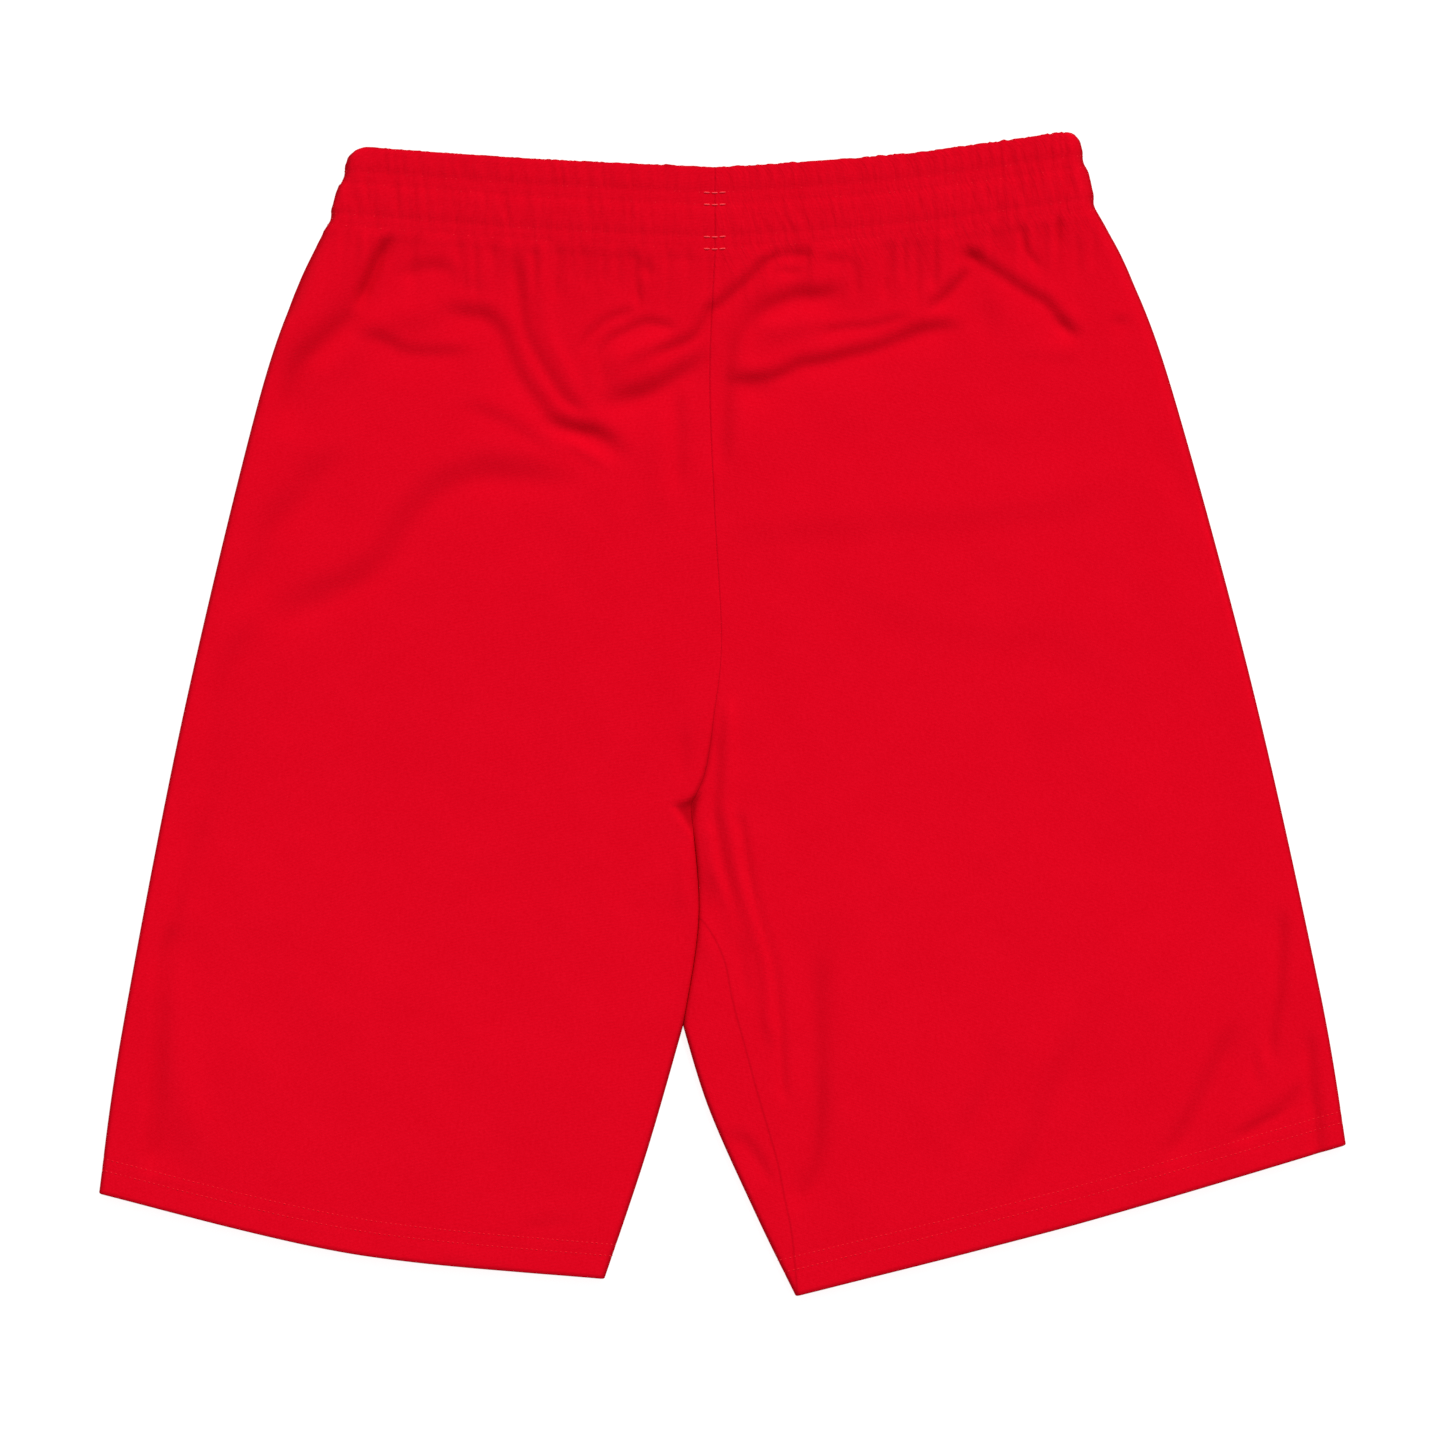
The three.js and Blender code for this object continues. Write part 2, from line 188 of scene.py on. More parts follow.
@dataclass(frozen=True)
class KnitFinish:
    """The red cotton-mix knit: matt, faintly streaked along the grain, with fine ribs of stitches, and with
    painted shade mixed into its colour.
    """

    name: str = "red_knit"
    light: tuple = (0.765, 0.0024, 0.0160, 1.0)
    dark: tuple = (0.668, 0.0001, 0.0085, 1.0)
    # crease is a painted shade colour, not a colour of the knit: the colour is mixed towards it where shade
    # falls.
    crease: tuple = (0.34, 0.0003, 0.0045, 1.0)
    streak: tuple = (0.8, 0.2, 1.0)
    fleck: tuple = (0.72, 0.85, 1.0)
    crimp: tuple = (0.62, 0.07, 1.0)
    cloud_scale: float = 0.045
    # The width of a seam's groove, and how much painted shade darkens it.
    seam_width: float = 0.55
    seam_shade_depth: float = 0.34
    # How much the mesh's painted shade value darkens the colour towards crease.
    shade_depth: float = 0.8
    # Painted shade that deepens up the seat to the foot of the waistband, and the distances from the hem
    # over which it grows.
    seat_shade_depth: float = 0.085
    seat: tuple = (400, 515)
    rib_pitch: float = 0.9
    course_pitch: float = 0.75
    roughness: float = 0.95
    specular: float = 0.02
    bump_strength: float = 0.25
    bump_distance: float = 0.00025

    def material(self) -> bpy.types.Material:
        """Builds the material."""
        graph = Graph(self.name)
        seam, gathered = graph.attribute("seam"), graph.attribute("gathered")
        cloth = graph.attribute("cloth", "Vector")
        across, along, shade = (graph.part(cloth, axis) for axis in range(3))
        flat = graph.node("ShaderNodeCombineXYZ", {}, {0: across, 1: along})
        streak = graph.noise(graph.stretched(flat, self.streak), 1.0, 3.0)
        cloud = graph.noise(flat, self.cloud_scale, 2.0)
        fleck = graph.noise(graph.stretched(flat, self.fleck), 1.0, 2.0)
        crimp = graph.noise(graph.stretched(flat, self.crimp), 1.0, 1.5)
        # 1 on a seam and fading off it: it sinks a groove into the bump and darkens that groove with painted
        #                                shade.
        stitched = math.e ** (seam * seam * (-1 / self.seam_width**2))
        ease = {"interpolation_type": "SMOOTHSTEP"}
        # 0 low on the seat and 1 at the foot of the waistband, for the painted shade there.
        seat = graph.node("ShaderNodeMapRange", ease, {0: along, 1: self.seat[0], 2: self.seat[1]})
        colour = graph.mix(self.dark, self.light, streak * 0.6 + cloud * 0.3 + fleck * 1.15 - 0.52)
        # Painted shade: the colour is darkened towards crease along seam grooves, up the seat and wherever
        # the mesh's shade value is high.
        for depth in (stitched * self.seam_shade_depth, seat * self.seat_shade_depth, shade * self.shade_depth):
            colour = graph.mix(colour, self.crease, depth)
        rib = (across * (2 * math.pi / self.rib_pitch)).sin()
        course = (along * (2 * math.pi / self.course_pitch) + abs(rib) * 1.6).sin()
        height = rib * 0.15 + course * 0.3 + fleck * 2.4 - stitched * 0.6 + crimp * gathered * 9.0
        return graph.surface(
            {
                "Base Color": colour,
                "Roughness": self.roughness,
                "Specular IOR Level": self.specular,
                "Normal": graph.bump(height, self.bump_strength, self.bump_distance),
            }
        )


@dataclass(frozen=True)
class ThreadFinish:
    """Polyester sewing thread: a little lighter than the cloth, with its twist."""

    name: str = "red_thread"
    light: tuple = (0.90, 0.014, 0.030, 1.0)
    dark: tuple = (0.72, 0.003, 0.014, 1.0)
    twist: float = 900.0
    roughness: float = 0.6
    specular: float = 0.1

    def material(self) -> bpy.types.Material:
        """Builds the material."""
        graph = Graph(self.name)
        twist = graph.bands("DIAGONAL", self.twist, 1.5)
        return graph.surface(
            {
                "Base Color": graph.mix(self.dark, self.light, twist),
                "Roughness": self.roughness,
                "Specular IOR Level": self.specular,
                "Normal": graph.bump(twist, 0.3, 0.0001),
            }
        )


@dataclass(frozen=True)
class ElasticFinish:
    """Woven elastic: off-white, with its rubber cords showing as ribs along it."""

    name: str = "white_elastic"
    light: tuple = (0.82, 0.80, 0.76, 1.0)
    dark: tuple = (0.62, 0.60, 0.56, 1.0)
    ribs: float = 160.0
    roughness: float = 0.8

    def material(self) -> bpy.types.Material:
        """Builds the material."""
        graph = Graph(self.name)
        cords = graph.bands("Y", self.ribs, 0.3)
        colour = graph.mix(self.dark, self.light, cords)
        normal = graph.bump(cords, 0.5, 0.0003)
        return graph.surface({"Base Color": colour, "Roughness": self.roughness, "Normal": normal})


# ---------------------------------------------------------------- Outline


def smooth(value: np.ndarray, low: float, high: float) -> np.ndarray:
    """0 below low, 1 above high, and smooth between."""
    t = np.clip((np.asarray(value, float) - low) / (high - low), 0, 1)
    return t * t * (3 - 2 * t)


def bell(value: np.ndarray, width: float | np.ndarray) -> np.ndarray:
    """1 at zero, falling off smoothly on both sides of it."""
    return np.exp(-((value / width) ** 2))


def lengths_along(path: np.ndarray) -> np.ndarray:
    """The distance along a path to each of its points."""
    return np.r_[0, np.cumsum(np.linalg.norm(np.diff(path, axis=0), axis=1))]


def points_at(path: np.ndarray, where: np.ndarray, places: np.ndarray) -> np.ndarray:
    """Points of a path at some places along it, given the place of each of its own."""
    return np.stack([np.interp(where, places, path[:, k]) for k in range(path.shape[1])], axis=-1)


def evenly(path: np.ndarray, count: int) -> np.ndarray:
    """A path's points moved to even spacing along it."""
    lengths = lengths_along(path)
    return points_at(path, np.linspace(0, lengths[-1], count), lengths)


def spline(points: list, count: int) -> np.ndarray:
    """Points along a smooth curve through given points.

    Args:
        points: The points that it passes through.
        count: How many points to return.

    Returns:
        Points evenly spaced along the curve.
    """
    knots = np.asarray(points, float)
    padded = np.vstack([knots[0], knots, knots[-1]])
    t = np.linspace(0, 1, 24, endpoint=False)[:, None]
    pieces = []
    for a, b, c, d in zip(padded, padded[1:], padded[2:], padded[3:]):
        piece = 2 * b + (c - a) * t + (2 * a - 5 * b + 4 * c - d) * t**2 + (3 * b - a - 3 * c + d) * t**3
        pieces.append(piece / 2)
    return evenly(np.vstack([*pieces, knots[-1:]]), count)


def down_from(point: np.ndarray, length: float, degrees: float, side: int) -> np.ndarray:
    """The point at a distance from another, at an angle from straight down, turned towards a side."""
    angle = math.radians(degrees)
    return point + length * np.array([side * math.sin(angle), -math.cos(angle)])


def bowed(start: np.ndarray, end: np.ndarray, bows: tuple, sign: int) -> np.ndarray:
    """A curve that stands off the chord between two points.

    Args:
        start: Its first point.
        end: Its last point.
        bows: Pairs of a share of the way along and a distance off the chord.
        sign: 1 if the bows lie to the right of the chord's direction, -1 if to its left.

    Returns:
        Evenly spaced points along the curve.
    """
    chord = end - start
    across = sign * np.array([chord[1], -chord[0]]) / np.linalg.norm(chord)
    middle = [start + share * chord + bow * across for share, bow in bows]
    return spline([start, *middle, end], EDGE_POINTS)


@dataclass(frozen=True)
class Cut:
    """Sizes of the shorts that both legs share."""

    waist_width: float = 361
    band_height: float = 43
    back_rise: float = 275
    rise_lean: float = 2.5
    leg_contact: float = 110.5
    contact_lean: float = 2
    inseam_apart: float = 134
    hem_allowance: float = 24
    casing_allowance: float = 46
    gauge: float = 6
    hem_row: float = 12.5
    middle_row: float = 13
    lower_row: float = 35
    hip_bows: tuple = ((0.16, 7.3), (0.48, 13.9), (0.8, 13.4), (0.93, 7.8))
    rise_bows: tuple = ((0.05, 5.7), (0.1, 8.0), (0.16, 9.4), (0.3, 11.6), (0.55, 5), (0.78, 0))
    contact_bows: tuple = ((0.5, 6),)

    @property
    def crotch(self) -> float:
        """Distance from the hem to the crotch."""
        return self.inseam_apart + self.leg_contact

    @property
    def band(self) -> float:
        """Distance from the hem to the foot of the waistband."""
        return self.crotch + self.back_rise

    @property
    def top(self) -> float:
        """Distance from the hem to the top of the waistband."""
        return self.band + self.band_height

    @property
    def band_lines(self) -> tuple[float, float]:
        """Distances from the hem to the middles of the lower and the middle stitch line of the band."""
        low, high = (self.top - first - self.gauge / 2 for first in (self.lower_row, self.middle_row))
        return low, high


CUT = Cut()


@dataclass
class Leg:
    """One half of the shorts: its outline and where its cloth lies."""

    name: str
    side: int
    band_rise: float
    band_flare: float
    side_length: float
    side_angle: float
    hem_width: float
    hem_angle: float
    hem_bows: tuple
    inseam_bows: tuple
    top_bows: tuple
    shift: np.ndarray = field(default_factory=lambda: np.zeros(2))

    def __post_init__(self) -> None:
        """Draws the four edges of the leg's cloth."""
        top_centre = np.zeros(2)
        band_centre = down_from(top_centre, CUT.band_height, 0, 1)
        crotch = down_from(band_centre, CUT.back_rise, CUT.rise_lean, -1)
        split = down_from(crotch, CUT.leg_contact, CUT.contact_lean, -1)
        top_corner = np.array([self.side * CUT.waist_width / 2, self.band_rise])
        band_corner = down_from(top_corner, CUT.band_height, self.band_flare, self.side)
        hem_outer = down_from(band_corner, self.side_length, self.side_angle, self.side)
        hem_inner = down_from(hem_outer, self.hem_width, 90 - self.hem_angle, -self.side)
        self.outer = [
            (0, CUT.band, bowed(hem_outer, band_corner, CUT.hip_bows, self.side)),
            (CUT.band, CUT.top, spline([band_corner, top_corner], EDGE_POINTS)),
        ]
        self.inner = [
            (0, CUT.inseam_apart, bowed(hem_inner, split, self.inseam_bows, 1)),
            (CUT.inseam_apart, CUT.crotch, bowed(split, crotch, CUT.contact_bows, 1)),
            (CUT.crotch, CUT.band, bowed(crotch, band_centre, CUT.rise_bows, 1)),
            (CUT.band, CUT.top, spline([band_centre, top_centre], EDGE_POINTS)),
        ]
        self.hem = bowed(hem_outer, hem_inner, self.hem_bows, -self.side)
        self.waist = bowed(top_corner, top_centre, self.top_bows, -self.side)

    @staticmethod
    def _along(chain: list, d: np.ndarray) -> np.ndarray:
        """Points at distances d along a chain of curves."""
        where = np.concatenate([np.linspace(low, high, len(path)) for low, high, path in chain])
        points = np.concatenate([path for _, _, path in chain])
        return points_at(points, d, where)

    def width(self, d: np.ndarray) -> np.ndarray:
        """Width of the leg at distances from the hem."""
        return np.linalg.norm(self._along(self.outer, d) - self._along(self.inner, d), axis=-1)

    def point(self, inset: np.ndarray, d: np.ndarray) -> np.ndarray:
        """Points in the plane.

        Args:
            inset: Distances in from the side edge.
            d: Distances from the hem.

        Returns:
            Their x and y.
        """
        share = (inset / self.width(d))[..., None]
        up = (d / CUT.top)[..., None]
        ends = np.linspace(0, 1, EDGE_POINTS)
        hem, waist = (points_at(edge, share[..., 0], ends) for edge in (self.hem, self.waist))
        outer, inner = self._along(self.outer, d), self._along(self.inner, d)
        low = self.hem[0] + (self.hem[-1] - self.hem[0]) * share
        high = self.waist[0] + (self.waist[-1] - self.waist[0]) * share
        sides = outer + (inner - outer) * share
        return sides + hem + (waist - hem) * up - (low + (high - low) * up) + self.shift


def lay_out() -> tuple[Leg, Leg]:
    """The two legs, moved so that the middle of their outline is the origin."""
    legs = (
        Leg(
            name="left",
            side=-1,
            band_rise=10.5,
            band_flare=18,
            side_length=494.5,
            side_angle=13.3,
            hem_width=256,
            hem_angle=9.6,
            hem_bows=((0.5, 8.6),),
            inseam_bows=((0.5, 1.4),),
            top_bows=((0.5, 1),),
        ),
        Leg(
            name="right",
            side=1,
            band_rise=18.5,
            band_flare=14,
            side_length=480.5,
            side_angle=15,
            hem_width=285,
            hem_angle=15.4,
            hem_bows=((0.5, 2.5),),
            inseam_bows=((0.3, -2.6), (0.7, -4)),
            top_bows=((0.5, 2.8),),
        ),
    )
    edges = [path for leg in legs for _, _, path in (*leg.outer, *leg.inner)]
    edges += [path for leg in legs for path in (leg.hem, leg.waist)]
    points = np.vstack(edges)
    for leg in legs:
        leg.shift = -(points.min(0) + points.max(0)) / 2
    return legs


LEFT, RIGHT = lay_out()


# ---------------------------------------------------------------- Relief


class Noise:
    """Smooth seeded value noise over the plane, between -1 and 1."""

    def __init__(self, seed: int, size: int = 256) -> None:
        """Fills the lattice."""
        self.size = size
        self.values = np.random.default_rng(seed).uniform(-1, 1, (size, size))

    def __call__(self, x: np.ndarray, y: np.ndarray) -> np.ndarray:
        """Noise at points, whose lattice has a pitch of 1."""
        x0, y0 = np.floor(x).astype(int), np.floor(y).astype(int)
        fx, fy = x - x0, y - y0
        fx, fy = fx**3 * (fx * (6 * fx - 15) + 10), fy**3 * (fy * (6 * fy - 15) + 10)
        n = self.size

        def corner(i: int, j: int) -> np.ndarray:
            """Lattice values at one corner of each cell."""
            return self.values[(x0 + i) % n, (y0 + j) % n]

        low = corner(0, 0) * (1 - fx) + corner(1, 0) * fx
        high = corner(0, 1) * (1 - fx) + corner(1, 1) * fx
        return low * (1 - fy) + high * fy


def beside(path: np.ndarray, x: np.ndarray, y: np.ndarray) -> tuple[np.ndarray, np.ndarray, np.ndarray]:
    """Where points of the plane are beside a path.

    Args:
        path: Points along the path.
        x: Places across the plane.
        y: Places up the plane.

    Returns:
        Distances to the left of the path, distances ahead of its nearest point, and that point's index.
    """
    nearest = ((x[:, None] - path[:, 0]) ** 2 + (y[:, None] - path[:, 1]) ** 2).argmin(1)
    along = np.gradient(path, axis=0)
    along = (along / np.linalg.norm(along, axis=1, keepdims=True))[nearest]
    off = np.stack([x, y], axis=1) - path[nearest]
    aside = along[:, 0] * off[:, 1] - along[:, 1] * off[:, 0]
    return aside, (off * along).sum(1), nearest


def close_to(path: np.ndarray, x: np.ndarray, y: np.ndarray, reach: float) -> np.ndarray:
    """Which points are inside a path's box, widened by a reach."""
    low, high = path.min(0) - reach, path.max(0) + reach
    return (x > low[0]) & (x < high[0]) & (y > low[1]) & (y < high[1])


# How far a fold's shape lies to the right of its curve, in widths, and the share of its step that is raised.
FOLD_SHIFT = 0.35
FOLD_STEP = 0.6


@dataclass(frozen=True)
class Fold:
    """One crease along a curve: a step that is higher on the left of the curve, and a dip along it.

    Negative dips are ridges.
    """

    step: float
    dip: float
    width: float
    points: tuple

    def relief(self, x: np.ndarray, y: np.ndarray) -> tuple[np.ndarray, np.ndarray]:
        """Height that it adds at points of the plane, and how deep they are in its hollow, which sets
        painted shade.
        """
        path = spline(list(self.points), 90)
        near = close_to(path, x, y, 5.5 * self.width)
        out, hollow = np.zeros_like(x), np.zeros_like(x)
        if not near.any():
            return out, hollow
        aside, ahead, nearest = beside(path, x[near], y[near])
        u = aside / self.width + FOLD_SHIFT
        length = lengths_along(path)[-1]
        t = nearest / (len(path) - 1) + ahead / length
        taper = min(0.5, 2.6 * self.width / length)
        ends = smooth(t, -0.5 * taper, taper) * (1 - smooth(t, 1 - taper, 1 + 0.5 * taper))
        step = FOLD_STEP * self.step * np.tanh(u / 0.8) * bell(u, np.where(u > 0, 1.75, 2.7))
        dip = self.dip * ends * bell(u, 1)
        out[near] = ends * step - dip
        hollow[near] = np.maximum(dip, 0) * bell(u - FOLD_SHIFT, 1)
        return out, hollow


BACK_FOLDS = (
    # The rolled edge and the first crease inside the left hip.
    Fold(1.2, 3.2, 4, ((-197, 240), (-206, 220), (-216, 195))),
    Fold(0.9, -1.8, 9, ((-176, 238), (-190, 217), (-204, 197), (-214, 177))),
    Fold(1.5, 4.2, 3.8, ((-183, 204), (-179, 213), (-175, 222), (-171, 230), (-167, 238))),
    Fold(1.6, 2.6, 7, ((-221, 144), (-217, 164), (-211, 177), (-201, 187), (-189, 198), (-180, 208))),
    Fold(0.0, -1.4, 9, ((-208, 150), (-203, 168), (-192, 180), (-176, 197), (-152, 203), (-140, 212))),
    Fold(1.5, 0.6, 4.5, ((-182, 191), (-173, 190), (-165, 187), (-157, 183), (-142, 182), (-126, 182.5))),
    Fold(0.9, 0.8, 4.5, ((-163, 221), (-148, 224), (-140, 224), (-129, 221))),
    Fold(0.6, 0.3, 5, ((-138, 218), (-125, 215), (-111, 211))),
    # The long S of a crease left of the centre, and the thinner one beside it.
    Fold(2.4, 1.2, 5.5, (
        (-138, 203), (-127, 202), (-116, 200), (-108, 192), (-103, 180), (-98, 169), (-90, 158),
        (-82, 149), (-70, 144), (-62, 142), (-54, 137), (-47, 130),
    )),
    Fold(1.9, 0.9, 5, ((-90, 148), (-78, 145), (-66, 143), (-56, 139))),
    Fold(1.4, 1.3, 4, (
        (-101, 228), (-99, 210), (-98, 200), (-95, 188), (-90, 178), (-84, 168), (-77, 158), (-66, 151),
    )),
    Fold(0.0, -0.8, 3.5, ((-90, 222), (-88, 205), (-85, 188), (-77, 173), (-71, 160))),
    # The curl beside the centre seam.
    Fold(0.8, 1.5, 2.8, ((-42, 235), (-42, 218), (-40, 202))),
    Fold(0.5, 1.0, 3.5, ((-40, 226), (-33, 219))),
    Fold(1.1, 0.5, 3.5, ((-33, 230), (-22, 232), (-11, 232))),
    Fold(1.1, 0.7, 3.2, ((-72, 178), (-69, 188), (-63, 194), (-55, 199), (-43, 203))),
    Fold(1.1, 1.0, 3.2, ((-62, 162), (-62, 178), (-57, 187), (-48, 192), (-37, 196), (-22, 193))),
    Fold(0.0, -1.6, 5, ((-56, 167), (-52, 177), (-42, 183), (-28, 186))),
    Fold(3.8, 2.2, 6.5, ((-58, 158), (-43, 162), (-35, 165), (-28, 169), (-20, 174), (-9, 182))),
    # The drag line that climbs over the centre seam, with a small loop at its end.
    Fold(2.5, 1.4, 4, (
        (-36, 181), (-22, 186), (-15, 190), (-11, 196), (-8, 202), (-2, 206), (5, 212), (12, 218),
        (20, 226), (28, 232), (35, 233), (45, 232),
    )),
    Fold(0.7, 0.6, 2.4, ((26, 222), (35, 221), (42, 222))),
    Fold(0.6, 0.6, 2.4, ((43, 232), (43, 222))),
    Fold(1.0, 0.5, 3.5, ((48, 227), (57, 228), (66, 226))),
    Fold(0.3, 0.7, 2.2, ((68, 225), (68, 207))),
    Fold(2.9, 1.5, 5.5, ((7, 182), (11, 194), (18, 202), (28, 208), (38, 211), (48, 211), (59, 214))),
    Fold(1.6, 1.7, 5.5, ((22, 205), (12, 197), (7, 187), (5, 172), (4, 157), (2, 122))),
    Fold(0.0, -1.6, 7, ((13, 184), (22, 193), (36, 197), (54, 201))),
    # The crease that crosses the right seat.
    Fold(1.3, 0.5, 3, ((48, 192), (62, 194), (75, 195), (92, 200))),
    Fold(3.0, 1.3, 4.7, (
        (3, 168), (20, 169), (30, 172), (38, 176), (50, 178), (62, 181), (75, 184), (88, 189), (98, 193),
        (108, 195), (118, 195),
    )),
    Fold(0.9, 0.6, 6, ((6, 166), (16, 164), (28, 163))),
    Fold(0.5, 0.1, 6, ((64, 172), (80, 174), (99, 178))),
    # The pinch under the band at the right hip.
    Fold(2.3, 1.2, 3.9, (
        (122, 231), (131, 226), (140, 220), (152, 212), (162, 206), (168, 199), (177, 189),
    )),
    Fold(1.4, 2.0, 4, ((119, 230), (130, 229))),
    Fold(0.9, 1.0, 4, ((166, 198), (178, 189))),
    Fold(2.6, 1.5, 4, ((101, 202), (113, 213), (124, 225))),
    Fold(0.6, 1.0, 2.6, ((148, 248), (150, 238), (153, 230), (159, 222))),
    Fold(0.5, 0.8, 8, ((132, 212), (137, 186))),
    Fold(0.9, 0.4, 3.5, ((193, 197), (203, 197))),
    Fold(0.4, 0.1, 4, ((144, 180), (177, 178))),
    # Soft hollows across the left seat.
    Fold(1.1, 0.5, 5, ((-127, 156), (-110, 149), (-95, 140), (-79, 130))),
    Fold(0.0, -0.9, 3.5, ((-79, 138), (-66, 131), (-56, 124))),
    Fold(1.5, 1.6, 9.5, (
        (-224, 52), (-202, 62), (-182, 71), (-170, 82), (-160, 98), (-146, 113), (-125, 123), (-100, 123),
        (-74, 120),
    )),
    Fold(1.6, 1.3, 9, ((-225, 96), (-213, 110), (-207, 121), (-194, 132))),
    Fold(1.0, 1.2, 9, ((-247, 58), (-235, 75), (-229, 94), (-221, 114))),
    Fold(0.0, -0.9, 6, ((-28, 150), (-29, 134), (-29, 100))),
    Fold(0.4, 0.9, 4.5, ((-21, 162), (-20, 140), (-20, 112))),
    # Broad, faint waves on the right.
    Fold(0.4, 0.1, 9, ((84, 139), (119, 141), (179, 144))),
    Fold(0.9, 0.2, 10, ((-1, 90), (39, 93), (89, 97), (139, 101), (189, 107))),
    Fold(0.7, 0.2, 11, ((61, 70), (89, 50), (129, 40), (169, 40), (199, 12))),
    Fold(0.5, 0.8, 8, ((239, 92), (229, 107), (214, 137))),
    # The lower right leg.
    Fold(1.1, 1.7, 4.0, ((281, -100), (280, -122), (279, -140), (276, -157), (275, -172))),
    Fold(0.4, 0.7, 3, ((267, -168), (268, -186))),
    Fold(1.8, 1.5, 6.0, ((220, -220), (231, -201), (238, -187), (243, -176), (252, -156))),
    Fold(1.6, 1.0, 4, ((255, -210), (268, -202), (278, -196), (288, -184))),
    Fold(0.7, 1.5, 3.6, ((294.5, -160), (295.5, -186), (298, -203), (299, -224))),
    Fold(0.9, 0.7, 7, ((115, -222), (120, -203), (128, -188), (136, -164))),
    Fold(1.3, 1.0, 8, ((138, -240), (152, -213), (158, -196), (165, -178), (174, -156))),
    Fold(0.3, 0.3, 6, ((176, -229), (180, -210), (187, -193))),
    # Ridges that fan down from the crotch on the right leg.
    Fold(0.6, 0.7, 2.6, (
        (-1, -12), (-2, -35), (-3, -48), (-1, -62), (2, -76), (5, -92), (9, -110), (14, -140),
    )),
    Fold(0.3, -1.8, 3.2, (
        (4, 6), (4, -25), (2.5, -46), (5, -59), (8, -75), (11.4, -88), (18, -110), (23, -127), (24, -149),
        (26, -164),
    )),
    Fold(0.8, 1.1, 2.6, ((10, -50), (15, -83), (20, -103), (27, -127), (30, -154), (32, -192))),
    Fold(0.0, -1.1, 2.6, ((-6, -55), (-4, -75), (2.6, -92), (9, -114))),
    Fold(0.0, 1.3, 4, ((-7, -80), (-6, -102))),
    Fold(0.0, -0.9, 4, ((-8, -106), (-4, -126))),
    Fold(0.2, 1.0, 5.0, ((50, -126), (49, -150), (50, -180), (49, -202), (47, -226), (37, -248))),
    Fold(0.2, 1.0, 10, ((53, -106), (50, -143), (50, -202), (41, -241))),
    Fold(0.2, 0.6, 4, ((50, -178), (50, -202), (47, -226), (38, -245))),
    Fold(0.2, 0.9, 4, ((46, -230), (41, -237), (35, -244))),
    Fold(1.0, 0.7, 3, ((1, -210), (11, -211), (18, -219), (26, -233))),
    # The inner edge of the left leg.
    Fold(0.0, -0.9, 4, ((-18, -66), (-18, -98))),
    Fold(0.2, 0.8, 4, ((-18, -8), (-18, -32))),
    # The left leg's side.
    Fold(0.5, 1.0, 7, (
        (-272, -99), (-268, -80), (-262, -60), (-257, -42), (-255, -16), (-254, 8), (-249, 25),
        (-237, 44),
    )),
    Fold(1.3, 2.0, 4.5, (
        (-288, -227), (-286, -206), (-284, -180), (-283, -159), (-281, -130), (-278, -114), (-273, -102),
    )),
    Fold(0.4, 0.9, 3, ((-274, -105), (-271, -91))),
    Fold(0.0, -1.6, 10, ((-272, -124), (-268, -180), (-255, -220))),
    Fold(0.6, 0.2, 4, ((-101, -254), (-81, -251), (-70, -250))),
    Fold(0.6, 0.2, 4, ((-142, -270), (-121, -275), (-103, -276))),
)

# The right inseam, which the lie of the leg brings round to the back.
INSEAM_LINE = (
    (-10, -103), (-4, -112), (1.5, -125), (5, -143), (11.5, -167),
    (18, -191), (27, -222), (31, -242), (34.5, -259), (37.5, -290),
)

# Short pleats that hang from the waistband: x, y at the top and at the foot, depth and width.
PLEATS = (
    (-154, 232, 213, 0.8, 2.4),
    (-131, 240, 223, 0.8, 2.2),
    (-114, 236, 224, 0.8, 2.2),
    (-93, 230, 211, 1.0, 2.3),
    (-82, 233, 206, 0.9, 2.2),
    (-75, 233, 216, 0.5, 2.0),
    (-67, 233, 212, 0.8, 2.2),
    (-59, 233, 214, 0.6, 2.0),
    (-52, 233, 210, 0.6, 2.0),
    (82, 239, 207, 1.1, 2.4),
    (90, 238, 217, 1.0, 2.4),
    (97, 236, 206, 0.7, 2.2),
    (106, 242, 211, 1.0, 2.4),
    (115, 238, 221, 0.7, 2.2),
    (168, 250, 232, 1.0, 2.4),
    (178, 234, 215, 0.9, 3.4),
    (185, 240, 222, 0.7, 2.4),
)


# The small hollow beside the crotch, where the rise seam and both inseams meet; it is sunk into the cloth
# and darkened with painted shade.
CROTCH_HOLE = ((-23.5, -46.0), (-15.5, -58.5), (-11.5, -41.0))


def within(x: np.ndarray, y: np.ndarray, corners: tuple) -> np.ndarray:
    """How far points are inside a polygon whose corners run anticlockwise."""
    depth = np.full_like(x, 99.0)
    for (ax, ay), (bx, by) in zip(corners, corners[1:] + corners[:1]):
        inside = ((bx - ax) * (y - ay) - (by - ay) * (x - ax)) / math.hypot(bx - ax, by - ay)
        depth = np.minimum(depth, inside)
    return depth


def pleat(x: float, high: float, low: float, depth: float, width: float) -> Fold:
    """A short fold that hangs straight down from the waistband."""
    return Fold(0.3 * depth, depth, width, ((x, high + 4), (x + 0.4, (high + low) / 2), (x, low)))


